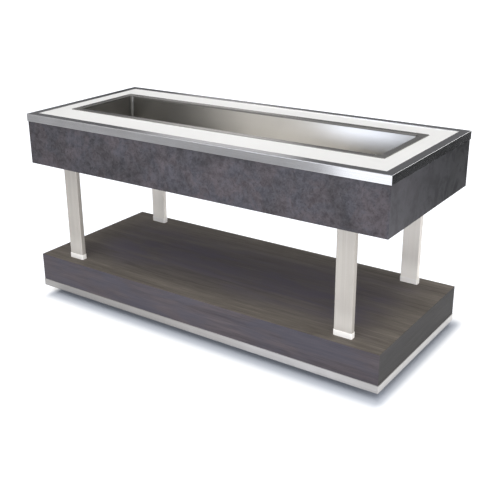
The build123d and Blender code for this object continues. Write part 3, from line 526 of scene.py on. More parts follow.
def brushed_steel(
    name, axis, dark, light, shine, scuffs=0.0, metal=1.0, drawn=0.0, dull_shaded_folds=0.0, foot_light_share=0.0, relief=0.00003
):
    """Stainless steel with belt lines along one axis and a haze from hands and cloths.

    Shares from 0 to 1 say how far it is scuffed, its folds roughened and darkened with painted shade, and
    its foot lightened with painted light.
    """
    steel = Finish(name)
    hair = steel.noise(stretched(axis, 9.0, 1500.0), 4.0, 0.7)
    band = steel.noise(stretched(axis, 1.3, 190.0), 3.0)
    haze = steel.noise(4.5, 4.0, distortion=0.6)
    tone = hair * 0.4 + band * 0.35 + haze * 0.25
    mark = steel.soft(steel.noise(stretched(axis, 11.0, 70.0), 5.0, 0.7), 0.6, 0.74) * scuffs
    upward = abs(steel.facing()[Z])
    # Painted shade: the folds are roughened and darkened towards grey, which dims their highlight.
    dull_shaded_fold = steel.soft(upward, *FOLD_STARTS) * (1.0 - steel.soft(upward, *FOLD_ENDS)) * dull_shaded_folds
    # Painted light: the foot is lightened towards white below the foot levels.
    foot = (1.0 - steel.soft(steel.z, *FOOT_LEVELS)) * foot_light_share
    colour = steel.blend(steel.soft(tone, 0.3, 0.7), dark, light)
    colour = steel.blend(dull_shaded_fold, colour, PAINTED_FOLD_SHADE)
    colour = steel.blend(foot, colour, PAINTED_FOOT_LIGHT)
    return steel.close(
        hair * 0.6 + band * 0.4,
        relief,
        Base_Color=steel.blend(mark, colour, SCUFF_BROWN),
        Metallic=metal,
        Roughness=shine + 0.14 * (hair - 0.5) + 0.16 * haze + 0.2 * mark + 0.6 * dull_shaded_fold,
        Anisotropic=drawn,
        Anisotropic_Rotation=QUARTER_TURN,
    )


RUNS = {X: ("front", "back"), Y: ("left", "right")}


def pair(stem, axis):
    """The names of the two like pieces that run along one axis."""
    return [f"{stem}_{side}" for side in RUNS[axis]]


# Lit and shaded copies of one steel: the front and back rails are painted darker as shade, and the end rails
# lighter as light.
RAIL_LIT_AND_SHADED_TONES = {
    X: ((0.315, 0.303, 0.291), (0.41, 0.395, 0.382)),
    Y: ((0.63, 0.609, 0.583), (0.8, 0.774, 0.742)),
}
for axis, tones in RAIL_LIT_AND_SHADED_TONES.items():
    rail_steel = brushed_steel(
        f"rail_steel_{axis}", axis, *tones, shine=0.26, scuffs=0.15, drawn=0.9, dull_shaded_folds=0.4
    )
    paint(rail_steel, *pair("base_rail", axis))

# Plinth boards: board faced with smoked-oak laminate, mitred to each other and to the shelf.
# The grain runs along each board, and a plain balancing sheet covers the inside.


def half_size(stem):
    """Half the outside length and depth of a box of four like pieces."""
    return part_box(f"{stem}_right")[1][X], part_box(f"{stem}_back")[1][Y]


def inset(board, half_length, half_depth):
    """How far a place lies in from the outside of such a box."""
    return (half_length - abs(board.x)).least(half_depth - abs(board.y))


def balancing_sheet(board):
    """The plain brown sheet on the hidden side of a faced board."""
    fibre = board.noise((8.0, 8.0, 90.0), 4.0)
    return board.blend(fibre, (0.19, 0.13, 0.08), (0.28, 0.2, 0.13))


PLINTH_HALF = half_size("plinth")
SHELF_UNDERSIDE = 0.1765
BALANCE_FROM = 0.0165
# How far in from the edge the painted shade fades in, in metres.
PAINTED_SHADE_RIM = (0.04, 0.3)
PORE_BROWN = (0.03, 0.027, 0.028)


def oak_laminate(name, axis, dark, middle, light, streak, painted_middle_shade=0.0):
    """Smoked oak with its grain along one axis, and a painted purple shade that fades out towards the edges.
    """
    oak = Finish(name)
    board = oak.noise(stretched(axis, 0.8, 11.0), 4.0, 0.55, 0.8)
    grain = oak.noise(stretched(axis, 3.0, 55.0), 6.0, 0.65, 1.8)
    fibre = oak.noise(stretched(axis, 16.0, 520.0), 4.0, 0.6)
    pore = oak.soft(oak.noise(stretched(axis, 11.0, 640.0), 2.0), 0.6, 0.74)
    tint = oak.soft(oak.noise(stretched(axis, 2.6, 11.0), 4.0, 0.6, 0.5), 0.4, 0.6)
    tone = board * 0.4 + grain * 0.4 + fibre * 0.2
    colour = oak.ramp(tone, (0.36, dark), (0.5, middle), (0.64, light))
    inward = inset(oak, *PLINTH_HALF)
    # Painted shade: a purple share of the streak colour in the middle of the board, fading out towards its
    # edges.
    kept = 1.0 - painted_middle_shade * (1.0 - oak.soft(inward, *PAINTED_SHADE_RIM))
    colour = oak.blend((tint * 0.5 + 0.35 * painted_middle_shade) * kept, colour, streak)
    colour = oak.blend(pore * 0.35, colour, PORE_BROWN)
    hidden = (inward > BALANCE_FROM) * (oak.z < SHELF_UNDERSIDE)
    return oak.close(
        fibre * 0.4 + (1.0 - pore) * 0.6,
        0.00016,
        Base_Color=oak.blend(hidden, colour, balancing_sheet(oak)),
        Roughness=0.5 + 0.16 * fibre + 0.08 * pore,
        Specular_IOR_Level=0.12,
    )


# Lit and shaded copies of one oak: the end boards are painted darker as shade.
PLINTH_LIT_AND_SHADED_TONES = {
    X: ((0.045, 0.039, 0.044), (0.0735, 0.063, 0.069), (0.102, 0.086, 0.09), (0.056, 0.057, 0.076)),
    Y: ((0.023, 0.0215, 0.02), (0.0375, 0.0355, 0.034), (0.0535, 0.049, 0.0475), (0.0325, 0.0315, 0.032)),
}
for axis, tones in PLINTH_LIT_AND_SHADED_TONES.items():
    paint(oak_laminate(f"plinth_oak_{axis}", axis, *tones), *pair("plinth", axis))

# Ribs: three plywood ribs on edge, glued under the shelf board between the long plinth boards.
# The plies show as light and dark lines along the bottom edge.
PLY = 0.0015


def plywood(name, through):
    """Birch plywood, with its plies stacked along one axis."""
    ply = Finish(name)
    place = (ply.x, ply.y, ply.z)[through]
    sheet = (place / PLY) % 2.0 < 1.0
    on_edge = abs(ply.facing()[through]) < 0.5
    grain = ply.noise(stretched(X, 5.0, 55.0), 5.0, 0.6, 1.0)
    fibre = ply.noise(stretched(X, 40.0, 700.0))
    dark, middle, light = (0.5, 0.34, 0.19), (0.58, 0.42, 0.25), (0.66, 0.5, 0.32)
    face = ply.ramp(grain, (0.3, dark), (0.5, middle), (0.7, light))
    edge = ply.blend(sheet, (0.3, 0.19, 0.1), (0.54, 0.39, 0.23))
    colour = ply.blend(on_edge, face, ply.blend(fibre * 0.4, edge, (0.36, 0.24, 0.13)))
    return ply.close(fibre * 0.6 + grain * 0.4, 0.0002, Base_Color=colour, Roughness=0.62 + 0.18 * fibre)


paint(plywood("plywood_on_edge", X), "shelf_ribs")

# Shelf board: board faced with the same smoked oak, its grain along the counter.
# It drops between the mitred tops of the plinth boards, with slots where the legs pass through.
# Its streak colour also serves as a painted purple shade in the middle, the shade under the counter.
shelf_oak = oak_laminate(
    "shelf_oak",
    X,
    (0.065, 0.056, 0.048),
    (0.117, 0.103, 0.089),
    (0.176, 0.155, 0.133),
    (0.101, 0.09, 0.117),
    painted_middle_shade=1.0,
)
paint(shelf_oak, "shelf_board")

# Legs: flat stainless tube with a bolting plate welded on each end, open through the plates.
# The tube is brushed upright, and its foot is lightened with painted light.
# A stacked bead of weld runs round it at both plates.
# Lit and shaded copies of one steel: the back legs are painted lighter, as light in the shade under the
# counter.
LEG_LIT_AND_SHADED_TONES = {
    "front": ((0.318, 0.296, 0.267), (0.4, 0.372, 0.336)),
    "back": ((0.6, 0.564, 0.518), (0.683, 0.647, 0.6)),
}
# The share of painted light at the foot, far more on the shaded back legs than on the front ones.
FOOT_LIGHT_SHARE = {"front": 0.17, "back": 0.95}
for row, tones in LEG_LIT_AND_SHADED_TONES.items():
    leg_steel = brushed_steel(
        f"leg_steel_{row}", Z, *tones, shine=0.42, scuffs=0.06, metal=0.3, foot_light_share=FOOT_LIGHT_SHARE[row]
    )
    paint(leg_steel, f"leg_{row}_left", f"leg_{row}_right")


def weld_finish():
    bead = Finish("weld_bead")
    heat = bead.noise(90.0, 3.0)
    brown, straw, blue = (0.28, 0.25, 0.24), (0.42, 0.36, 0.28), (0.33, 0.34, 0.42)
    colour = bead.ramp(heat, (0.35, brown), (0.5, straw), (0.65, blue))
    return bead.close(heat, 0.0001, Base_Color=colour, Metallic=1.0, Roughness=0.3 + 0.25 * heat)


def rounded_outline(pattern, wide, deep, steps):
    """The outline of a rectangle, its corners rounded in steps."""
    sockets = {"Width": pattern.size(wide), "Height": pattern.size(deep)}
    outline = pattern.node("GeometryNodeCurvePrimitiveQuadrilateral", {"mode": "RECTANGLE"}, sockets)
    sockets = {"Curve": outline, "Radius": pattern.size("Corner"), "Count": steps}
    return pattern.node("GeometryNodeFilletCurve", {"mode": "POLY"}, sockets)


def weld_pattern(material):
    """Overlapped drops of weld along the outline of a flat tube."""
    weld = Pattern("weld_beads", Wide=0.08, Deep=0.025, Corner=0.004, Drop=0.0026, Step=0.0021, Seed=7)
    sockets = {"Curve": rounded_outline(weld, "Wide", "Deep", steps=4), "Length": weld.size("Step")}
    outline = weld.node("GeometryNodeResampleCurve", {"mode": "LENGTH"}, sockets)
    sockets = {"Segments": 10, "Rings": 6, "Radius": weld.size("Drop")}
    drop = weld.node("GeometryNodeMeshUVSphere", {}, sockets)
    smallest, largest = 0.85, 1.12
    sockets = {2: smallest, 3: largest, "Seed": weld.size("Seed")}
    sizes = weld.node("FunctionNodeRandomValue", {"data_type": "FLOAT"}, sockets, 1)
    ring = weld.repeat(drop, outline, Scale=sizes)
    return weld.close(weld.repeat(ring, weld.places), material)


LEG_PLATE = 0.006
leg_low, leg_high = leg_boxes["front_left"]
plate_levels = (leg_low[Z] + LEG_PLATE, leg_high[Z] - LEG_PLATE)
weld_places = [(centre.x, centre.y, level) for centre in leg_centres.values() for level in plate_levels]
piece("leg_welds", weld_pattern(weld_finish()).mesh(weld_places), "station", "leg_steel")

# Leg bolts: four flanged bolts through each bolting plate, heads on the plate and nuts behind the channel.
# The heads at the top of the legs point down, and those at the foot point up.
LEG_BOLT_HALF_X, LEG_BOLT_HALF_Y = 0.058, 0.02
leg_bolt_places = [
    place
    for level in plate_levels
    for place in four_round(leg_centres, LEG_BOLT_HALF_X, LEG_BOLT_HALF_Y, level)
]
piece("plate_and_channel_bolts", flanged_bolts.mesh(leg_bolt_places), "station", "zinc_steel", "leg_bolts")

# Leg collars: loose bands of thin stainless that slide down each leg and cover its slot in the shelf.
# They are polished brighter than the legs.
COLLAR_TONES = (0.88, 0.85, 0.815), (0.95, 0.925, 0.89)
collar_steel = brushed_steel("collar_steel", X, *COLLAR_TONES, shine=0.3, metal=0.1)
paint(collar_steel, "leg_collars")

# Counter channels: two galvanised channels across the counter box, which the legs bolt up to.
# Their turned-up ends are held to the apron boards by washer-headed screws.
paint(zinc_sheet, "counter_channel_left", "counter_channel_right")


def screw_pattern():
    """A hexagon screw head on its pressed washer, turned about X by its tilt."""
    screw = Pattern(
        "washer_head_screws",
        Washer=0.0066,
        Washer_height=0.0012,
        Hexagon=0.0046,
        Head=0.0048,
        Tilt=0.0,
    )
    washer, hexagon, head = screw.size("Washer"), screw.size("Hexagon"), screw.size("Head")
    around, flats = 28, 6
    taper, chamfer, chamfer_from = 0.88, 0.84, 0.85
    head_top = head * chamfer_from
    shape = screw.join(
        screw.drum(around, washer, washer * taper, 0.0, screw.size("Washer height")),
        screw.drum(flats, hexagon, hexagon, 0.0, head_top),
        screw.drum(flats, hexagon, hexagon * chamfer, head_top, head - head_top),
    )
    return screw.close(screw.repeat(shape, screw.places, Rotation=screw.tilt(screw.size("Tilt"))), zinc)


washer_screws = screw_pattern()
SCREW_OFF, SCREW_LEVEL, CHANNEL_SHEET = 0.045, 0.704, 0.003
channel_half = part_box("counter_channel_right")[1][Y] - CHANNEL_SHEET
for label, side, tilt in (("front", -1, -math.pi / 2), ("back", 1, math.pi / 2)):
    xs = [end * leg_centres["front_right"].x + off for end in (-1, 1) for off in (-SCREW_OFF, SCREW_OFF)]
    places = [(x, side * channel_half, SCREW_LEVEL) for x in xs]
    piece(f"channel_screws_{label}", washer_screws.mesh(places, Tilt=tilt), "station", "zinc_steel")

# Apron boards and glue blocks: four boards close the counter box, mitred and glued at the corners.
# The boards are faced with slate-look laminate, and plywood blocks stiffen the corners inside.
APRON_HALF = half_size("apron")
# Where across the board the painted shade darkens it, front to back.
PAINTED_SHADE_ALONG = (-0.35, 0.4)


def slate_laminate(name, cool, warm, dark, light, mottle, painted_shade):
    """Slate-look laminate: clouds of blue-grey and purple-brown, mottled in dark and light, with grit.

    The mottling and a painted shade that darkens the board towards the back are shares from 0 to 1.
    """
    slate = Finish(name)
    patch = slate.soft(slate.noise(11.0, 4.0, 0.6, 0.8), 0.4, 0.6)
    cloud = slate.soft(slate.noise(5.0, 5.0, 0.6, 0.6), 0.36, 0.64)
    fleck = slate.soft(slate.noise(34.0, 6.0, 0.82, 0.4), 0.3, 0.7)
    speck = slate.soft(slate.noise((150.0, 150.0, 90.0), 3.0, 0.6), 0.58, 0.72)
    grit = slate.noise(480.0, 2.0)
    # Painted shade: the board darkens towards the back by its share.
    shade = cloud * 0.75 * mottle + slate.soft(slate.y, *PAINTED_SHADE_ALONG) * painted_shade
    colour = slate.blend(patch, cool, warm)
    colour = slate.blend(shade, colour, dark)
    colour = slate.blend((1.0 - fleck) * 0.52 * mottle, colour, dark)
    colour = slate.blend(fleck * 0.4 * mottle, colour, light)
    colour = slate.blend(speck * 0.6 * mottle + 0.12 * slate.soft(grit, 0.5, 0.8), colour, dark)
    hidden = inset(slate, *APRON_HALF) > BALANCE_FROM
    return slate.close(
        grit * 0.4 + fleck * 0.3 + (1.0 - speck) * 0.3,
        0.00012,
        Base_Color=slate.blend(hidden, colour, balancing_sheet(slate)),
        Roughness=0.42 + 0.14 * patch + 0.1 * grit,
        Specular_IOR_Level=0.22,
    )


# Lit and shaded copies of one laminate: the end boards are painted darker as shade.
SLATE_LIT_AND_SHADED_TONES = {
    X: ((0.0415, 0.0415, 0.054), (0.0615, 0.049, 0.055), (0.007, 0.006, 0.007), (0.105, 0.095, 0.107)),
    Y: ((0.046, 0.0445, 0.0505), (0.05, 0.047, 0.052), (0.006, 0.006, 0.007), (0.063, 0.061, 0.067)),
}
# Only the end boards get the painted shade towards the back.
SLATE_MOTTLE, SLATE_PAINTED_SHADE = {X: 1.0, Y: 0.45}, {X: 0.0, Y: 0.92}
for axis, tones in SLATE_LIT_AND_SHADED_TONES.items():
    slate = slate_laminate(f"slate_laminate_{axis}", *tones, SLATE_MOTTLE[axis], SLATE_PAINTED_SHADE[axis])
    paint(slate, *pair("apron", axis))
paint(plywood("plywood_flat", Z), "apron_glue_blocks", "worktop_substrate")

# Counter slab: a sheet of white mineral-filled acrylic, cut out for the well and glued to the plywood.
# It is sanded to a satin face, with a faint fine grain in the white.


def solid_surface():
    slab = Finish("solid_surface")
    chip = slab.soft(slab.cells(520.0), 0.1, 0.6)
    cloud = slab.noise(3.0, 4.0)
    sanding = slab.noise(300.0)
    colour = slab.blend(cloud, (0.79, 0.79, 0.78), (0.85, 0.85, 0.835))
    colour = slab.blend((1.0 - chip) * 0.08, colour, (0.6, 0.6, 0.58))
    return slab.close(sanding, 0.00002, Base_Color=colour, Roughness=0.3 + 0.1 * cloud + 0.08 * sanding)


paint(solid_surface(), "worktop_slab")

# Edge trim: folded stainless angles round the counter, the lip lying on the slab, mitred at the corners.
# They are polished almost to a mirror, and the bends of the front and back lengths are rougher and darkened
# with painted shade that dims their highlight.
TRIM_TONES = (0.4, 0.4, 0.41), (0.5, 0.5, 0.51)
TRIM_RELIEF = 0.000008
# Painted shade on the bends of the front and back lengths, with their roughness; none on the ends.
FOLD_DULL_AND_SHADE = {X: 0.5, Y: 0.0}
for axis, dull_and_shade in FOLD_DULL_AND_SHADE.items():
    trim_steel = brushed_steel(
        f"trim_steel_{axis}", axis, *TRIM_TONES, shine=0.05, scuffs=0.04, dull_shaded_folds=dull_and_shade, relief=TRIM_RELIEF
    )
    paint(trim_steel, *pair("top_trim", axis))

# Well housing and insulation: a galvanised sheet box under the counter, filled with poured foam.
# Its lip is held up to the plywood by a row of washer-headed screws.


def poured_foam():
    foam = Finish("poured_foam")
    bubble = foam.cells(420.0)
    swell = foam.noise(22.0, 4.0)
    colour = foam.blend(swell, (0.62, 0.52, 0.28), (0.78, 0.68, 0.42))
    return foam.close(bubble * 0.5 + swell * 0.5, 0.001, Base_Color=colour, Roughness=0.8 + 0.1 * bubble)


paint(zinc_sheet, "well_housing")
paint(poured_foam(), "well_insulation")
housing_low, housing_high = (Vector(corner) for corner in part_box("well_housing"))
LIP_MIDDLE, LIP_SHEET, SCREW_PITCH = 0.0094, 0.0012, 0.16
lip_low = housing_low + Vector((LIP_MIDDLE, LIP_MIDDLE, 0))
lip_high = housing_high - Vector((LIP_MIDDLE, LIP_MIDDLE, LIP_SHEET))


def spread(low, high, pitch):
    """Even places from low to high, about a pitch apart."""
    count = round((high - low) / pitch)
    return [low + (high - low) * (step + 0.5) / count for step in range(count)]


lip_xs = spread(lip_low.x, lip_high.x, SCREW_PITCH)
lip_ys = spread(lip_low.y, lip_high.y, SCREW_PITCH)
lip_places = [(x, y, lip_high.z) for x in lip_xs for y in (lip_low.y, lip_high.y)]
lip_places += [(x, y, lip_high.z) for y in lip_ys for x in (lip_low.x, lip_high.x)]
piece("housing_screws", washer_screws.mesh(lip_places, Tilt=math.pi), "station", "zinc_steel")

# Well pan: a long stainless pan pressed from one sheet, with coved edges and a floor that falls to
# the drain. A dark line of painted shade runs along its rim, and its hem and corners are rougher and painted
# darker, as painted shade that dims their highlights.
# It hangs by its flange on a bed of sealant, which squeezes out in a thin pale bead all round.
pan_low, pan_high = (Vector(corner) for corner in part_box("well_pan"))
pan_size = pan_high - pan_low
FLANGE = 0.034
WELL_HALF_X = pan_size.x / 2 - FLANGE
WELL_HALF_Y = pan_size.y / 2 - FLANGE
WELL_SHIFT = (pan_low.y + pan_high.y) / 2
RIM_OUT, RIM_LEVELS = (0.003, 0.007), (0.893, 0.898)
CORNER_OUT, HEM_OUT = (-0.02, -0.008), (0.0315, 0.0335)
# The dark of the painted shade on the rim, hem and corners.
PAINTED_WELL_SHADE = (0.05, 0.05, 0.05)
WELL_RELIEF = 0.000004


def well_steel():
    """Belt lines along the well. They draw each light out into an upright streak on the walls."""
    steel = Finish("well_steel")
    hair = steel.noise(stretched(Z, 1500.0, 6.0), 3.0, 0.6)
    haze = steel.noise(4.5, 4.0, distortion=0.6)
    tone = hair * 0.6 + haze * 0.4
    out_x, out_y = abs(steel.x) - WELL_HALF_X, abs(steel.y - WELL_SHIFT) - WELL_HALF_Y
    out = out_x.most(out_y)
    rim = (1.0 - steel.soft(out, *RIM_OUT)) * steel.soft(steel.z, *RIM_LEVELS)
    corner = steel.soft(out_x, *CORNER_OUT) * steel.soft(out_y, *CORNER_OUT)
    hem = steel.soft(out, *HEM_OUT)
    # Painted shade: a dark line along the rim, and darker hem and corners that dim their highlights.
    dull_and_shade = (rim * 0.7).most(corner * 0.5).most(hem * 0.6)
    level_colour = steel.blend(tone, (0.45, 0.439, 0.41), (0.58, 0.564, 0.528))
    wall_colour = steel.blend(tone, (0.35, 0.343, 0.328), (0.45, 0.44, 0.42))
    level = steel.surface(
        hair,
        WELL_RELIEF,
        Base_Color=steel.blend(dull_and_shade, level_colour, PAINTED_WELL_SHADE),
        Metallic=1.0,
        Roughness=0.12 + 0.1 * haze + 0.5 * dull_and_shade,
    )
    wall = steel.surface(
        hair,
        WELL_RELIEF,
        Base_Color=steel.blend(dull_and_shade, wall_colour, PAINTED_WELL_SHADE),
        Metallic=1.0,
        Roughness=0.26 + 0.05 * haze + 0.7 * dull_and_shade,
        Anisotropic=0.95,
        Anisotropic_Rotation=QUARTER_TURN,
    )
    steep = 1.0 - steel.soft(abs(steel.facing()[Z]), 0.3, 0.7)
    return steel.finished(steel.node("ShaderNodeMixShader", {}, {0: steep, 1: level, 2: wall}))


paint(well_steel(), "well_pan")


def white_sealant():
    sealant = Finish("white_sealant")
    ripple = sealant.noise((60.0, 60.0, 260.0), 3.0)
    colour = sealant.blend(ripple, (0.66, 0.66, 0.63), (0.8, 0.8, 0.78))
    return sealant.close(ripple, 0.0003, Base_Color=colour, Roughness=0.36 + 0.2 * ripple)


def bead_pattern(material):
    """A round bead along the outline of a rectangle with rounded corners."""
    bead = Pattern("sealant_bead", Long=pan_size.x, Wide=pan_size.y, Corner=0.006, Radius=0.0015)
    sockets = {"Resolution": 12, "Radius": bead.size("Radius")}
    ring = bead.node("GeometryNodeCurvePrimitiveCircle", {"mode": "RADIUS"}, sockets)
    sockets = {"Curve": rounded_outline(bead, "Long", "Wide", steps=10), "Profile Curve": ring}
    rope = bead.node("GeometryNodeCurveToMesh", {}, sockets)
    return bead.close(bead.repeat(rope, bead.places), material)


sealant = white_sealant()
paint(sealant, "well_seal")
BEAD_LEVEL = 0.8985
bead_place = ((pan_low.x + pan_high.x) / 2, WELL_SHIFT, BEAD_LEVEL)
piece("flange_bead", bead_pattern(sealant).mesh([bead_place]), "station", "sealant")

# Drain tailpiece and strainer: a turned stainless flange with its pipe, and a pierced dome that lifts out.
# Both are lathe finished, with fine rings round the drain.


def lathe_steel():
    steel = Finish("lathe_steel")
    drain = (0.0, WELL_SHIFT, 0.0)
    off = steel.node("ShaderNodeVectorMath", {"operation": "SUBTRACT"}, {0: steel.at, 1: drain})
    across = steel.node("ShaderNodeVectorMath", {"operation": "MULTIPLY"}, {0: off, 1: (1.0, 1.0, 0.0)})
    radius = steel.node("ShaderNodeVectorMath", {"operation": "LENGTH"}, {0: across}, "Value")
    rings_per_metre = 2600.0
    sockets = {"W": radius * rings_per_metre, "Scale": 1.0}
    ring = steel.node("ShaderNodeTexNoise", {"noise_dimensions": "1D"}, sockets)
    haze = steel.noise(45.0, 4.0)
    colour = steel.blend(ring * 0.6 + haze * 0.4, (0.5, 0.5, 0.49), (0.68, 0.68, 0.67))
    return steel.close(ring, 0.00004, Base_Color=colour, Metallic=1.0, Roughness=0.2 + 0.18 * haze)


paint(lathe_steel(), "drain_tailpiece", "drain_strainer")

# Lock nut, elbow and hose tail: cast and turned brass under the housing, screwed up on the tailpiece.
# The castings are dull with a skin of tarnish, and the hose tail has turned barbs to hold a hose.


def dull_brass():
    brass = Finish("dull_brass")
    skin = brass.noise(46.0, 5.0, 0.62, 0.4)
    sand = brass.noise(750.0, 3.0)
    tarnish = brass.soft(skin, 0.5, 0.72)
    colour = brass.blend(tarnish, (0.6, 0.43, 0.17), (0.3, 0.2, 0.09))
    shine = 0.26 + 0.26 * tarnish + 0.1 * sand
    return brass.close(sand, 0.00012, Base_Color=colour, Metallic=1.0, Roughness=shine)


def barb_pattern(material):
    """Barbs along the hose tail, each a short cone with its sharp edge towards the valve."""
    barbs = Pattern("hose_barbs", Sharp=0.0109, Neck=0.01005, Long=0.0055)
    around = 40
    barb = barbs.drum(around, barbs.size("Sharp"), barbs.size("Neck"), 0.0, barbs.size("Long"))
    return barbs.close(barbs.repeat(barb, barbs.places, Rotation=barbs.tilt(-math.pi / 2)), material)


brass = dull_brass()
paint(brass, "drain_locknut", "drain_elbow", "drain_hose_tail")
PIPE_LEVEL = 0.695
BARBS_FROM, BARB_PITCH, BARB_COUNT = 0.1045, 0.0075, 4
barb_places = [(0.0, BARBS_FROM + BARB_PITCH * step, PIPE_LEVEL) for step in range(BARB_COUNT)]
piece("hose_barbs", barb_pattern(brass).mesh(barb_places), "station", "brass")

# Ball valve: a forged body plated with nickel, and inside it a polished ball on its stem.
# The plating is a little cloudy, and a shade warmer than steel.


def nickel_plating():
    nickel = Finish("nickel_plating")
    cloud = nickel.noise(55.0, 4.0)
    grain = nickel.noise(1100.0, 2.0)
    colour = nickel.blend(cloud, (0.52, 0.49, 0.44), (0.68, 0.65, 0.59))
    shine = 0.14 + 0.16 * cloud + 0.06 * grain
    return nickel.close(grain, 0.00003, Base_Color=colour, Metallic=1.0, Roughness=shine)


def ball_polish():
    polish = Finish("ball_polish")
    scratch = polish.noise((90.0, 1400.0, 1400.0), 3.0)
    colour = polish.blend(scratch, (0.7, 0.7, 0.71), (0.8, 0.8, 0.81))
    return polish.close(scratch, 0.00001, Base_Color=colour, Metallic=1.0, Roughness=0.06 + 0.1 * scratch)


paint(nickel_plating(), "drain_valve_body")
paint(ball_polish(), "drain_valve_ball")

# Valve lever and nut: a flat steel lever on the stem's flats, with a dipped red vinyl grip.
# The bare end and the nut are zinc plated, and the grip ends in a rounded roll of vinyl.
GRIP_FROM, GRIP_WAVE = (0.0355, 0.0362), 0.0012


def dipped_lever():
    lever = Finish("dipped_lever")
    wave = GRIP_WAVE * (lever.noise(160.0, 2.0) - 0.5)
    grip = lever.soft(lever.x + wave, *GRIP_FROM)
    fleck = lever.noise(900.0, 2.0)
    wear = lever.soft(lever.noise(70.0, 5.0, 0.65), 0.56, 0.7) * grip
    vinyl = lever.blend(wear * 0.5, (0.38, 0.022, 0.02), (0.2, 0.016, 0.015))
    return lever.close(
        fleck,
        0.00008,
        Base_Color=lever.blend(grip, (0.58, 0.59, 0.6), vinyl),
        Metallic=1.0 - grip,
        Roughness=0.28 + 0.14 * grip + 0.12 * fleck,
    )


paint(dipped_lever(), "drain_valve_lever")
paint(zinc, "drain_valve_nut")

# Studio: a pale floor that glows like a light table, under a soft sky with brighter and darker patches.
# Four upright panels of light stand in front and one at the right end. A black card past the right end and
# a grey one at the front left show only in the steel.
SHADE_REACH, SHADE_SHIFT, END_STEEPNESS = 0.122, 0.04, 1.7


def pale_floor(half_length, half_depth):
    """White floor, lit from below, with a painted blue-grey shadow where its glow is dimmed round the foot
    of the station.
    """
    floor = Finish("pale_floor")
    cloud = floor.noise(0.7, 3.0)
    past_x = (abs(floor.x - SHADE_SHIFT) - (half_length - SHADE_SHIFT)).most(0.0) * END_STEEPNESS
    past_y = (abs(floor.y) - half_depth).most(0.0)
    away = (past_x * past_x + past_y * past_y).root()
    # Painted shadow: the glow is dimmed close round the foot of the station.
    glow = floor.ramp(
        away / SHADE_REACH,
        (0.0, (0.03, 0.034, 0.042)),
        (0.25, (0.22, 0.228, 0.238)),
        (0.5, (0.585, 0.58, 0.57)),
        (0.7, (0.77, 0.755, 0.73)),
        (0.95, (0.89, 0.89, 0.89)),
    )
    return floor.close(
        cloud,
        0.0001,
        Base_Color=floor.blend(cloud, (0.3, 0.32, 0.36), (0.32, 0.34, 0.38)),
        Emission_Color=glow,
        Emission_Strength=1.0,
        Roughness=0.7,
    )


def flat(name, corners, material):
    """A sheet for the studio, from the corners of its outline."""
    mesh = bpy.data.meshes.new(name)
    mesh.from_pydata(corners, [], [tuple(range(len(corners)))])
    mesh.materials.append(material)
    made = bpy.data.objects.new(name, mesh)
    bpy.context.collection.objects.link(made)
    return made


def card_paper(name, dark, light):
    paper = Finish(name)
    pulp = paper.noise(40.0, 4.0)
    return paper.close(pulp, 0.0002, Base_Color=paper.blend(pulp, dark, light), Roughness=0.8)


def upright(start, end, bottom, top):
    """The corners of a card that stands upright from one place on the floor to another."""
    return [(*start, bottom), (*end, bottom), (*end, top), (*start, top)]


FLOOR_R, FLOOR_SIDES = 45.0, 96
rim_angles = [math.tau * step / FLOOR_SIDES for step in range(FLOOR_SIDES)]
floor_rim = [(FLOOR_R * math.cos(angle), FLOOR_R * math.sin(angle), 0.0) for angle in rim_angles]
flat("floor", floor_rim, pale_floor(*half_size("base_rail")))
black_card = flat(
    "black_card",
    upright((1.5, 0.3), (1.5, 2.6), 0.22, 1.3),
    card_paper("black_paper", (0.018, 0.018, 0.018), (0.028, 0.028, 0.028)),
)
grey_card = flat(
    "grey_card",
    upright((-4.5, -2.5), (-0.5, -2.5), 0.0, 0.5),
    card_paper("grey_paper", (0.66, 0.65, 0.64), (0.72, 0.71, 0.7)),
)
for card in (black_card, grey_card):
    card.visible_camera = card.visible_diffuse = card.visible_shadow = False


class Sky(Finish):
    """The light that comes from all round, by direction."""

    def __init__(self):
        world = bpy.data.worlds.new("studio")
        world.use_nodes = True
        bpy.context.scene.world = world
        self.tree = world.node_tree
        self.tree.nodes.clear()
        self.at = self.node("ShaderNodeTexCoord", {}, {}, "Generated")

    def patch(self, azimuth, elevation, inner, outer):
        """1 within an angle of one direction, fading to 0 at a wider angle, all in degrees."""
        turn, rise, inner, outer = (math.radians(angle) for angle in (azimuth, elevation, inner, outer))
        towards = (math.cos(turn) * math.cos(rise), math.sin(turn) * math.cos(rise), math.sin(rise))
        sockets = {0: self.at, 1: towards}
        share = self.node("ShaderNodeVectorMath", {"operation": "DOT_PRODUCT"}, sockets, "Value")
        return self.soft(share, math.cos(outer), math.cos(inner))


sky = Sky()
height = sky.node("ShaderNodeSeparateXYZ", {}, {0: sky.at}, Z)
LOW_SKY, MIDDLE_SKY, HIGH_SKY = (0.11, 0.11, 0.114), (0.15, 0.15, 0.155), (0.6, 0.6, 0.61)
OVERHEAD, LIP_LIGHT, BEND_LIGHT = (2.3, 2.27, 2.22), (0.46, 0.455, 0.46), (2.0, 2.0, 2.0)
FLANGE_DARK = (0.02, 0.02, 0.024)
glow = sky.ramp(height, (0.3, LOW_SKY), (0.55, MIDDLE_SKY), (0.9, HIGH_SKY))
glow = sky.blend(sky.patch(-58.0, 66.0, 8.0, 30.0), glow, OVERHEAD)
glow = sky.blend(sky.patch(126.7, 18.5, 5.6, 7.0), glow, LIP_LIGHT)
glow = sky.blend(sky.patch(74.0, 21.0, 5.0, 9.0), glow, BEND_LIGHT)
glow = sky.blend(sky.patch(132.0, 6.5, 4.8, 6.2) * 0.85, glow, FLANGE_DARK)
ceiling = sky.node("ShaderNodeBackground", {}, {"Color": glow, "Strength": 2.0})
sky.node("ShaderNodeOutputWorld", {}, {"Surface": ceiling}, ())

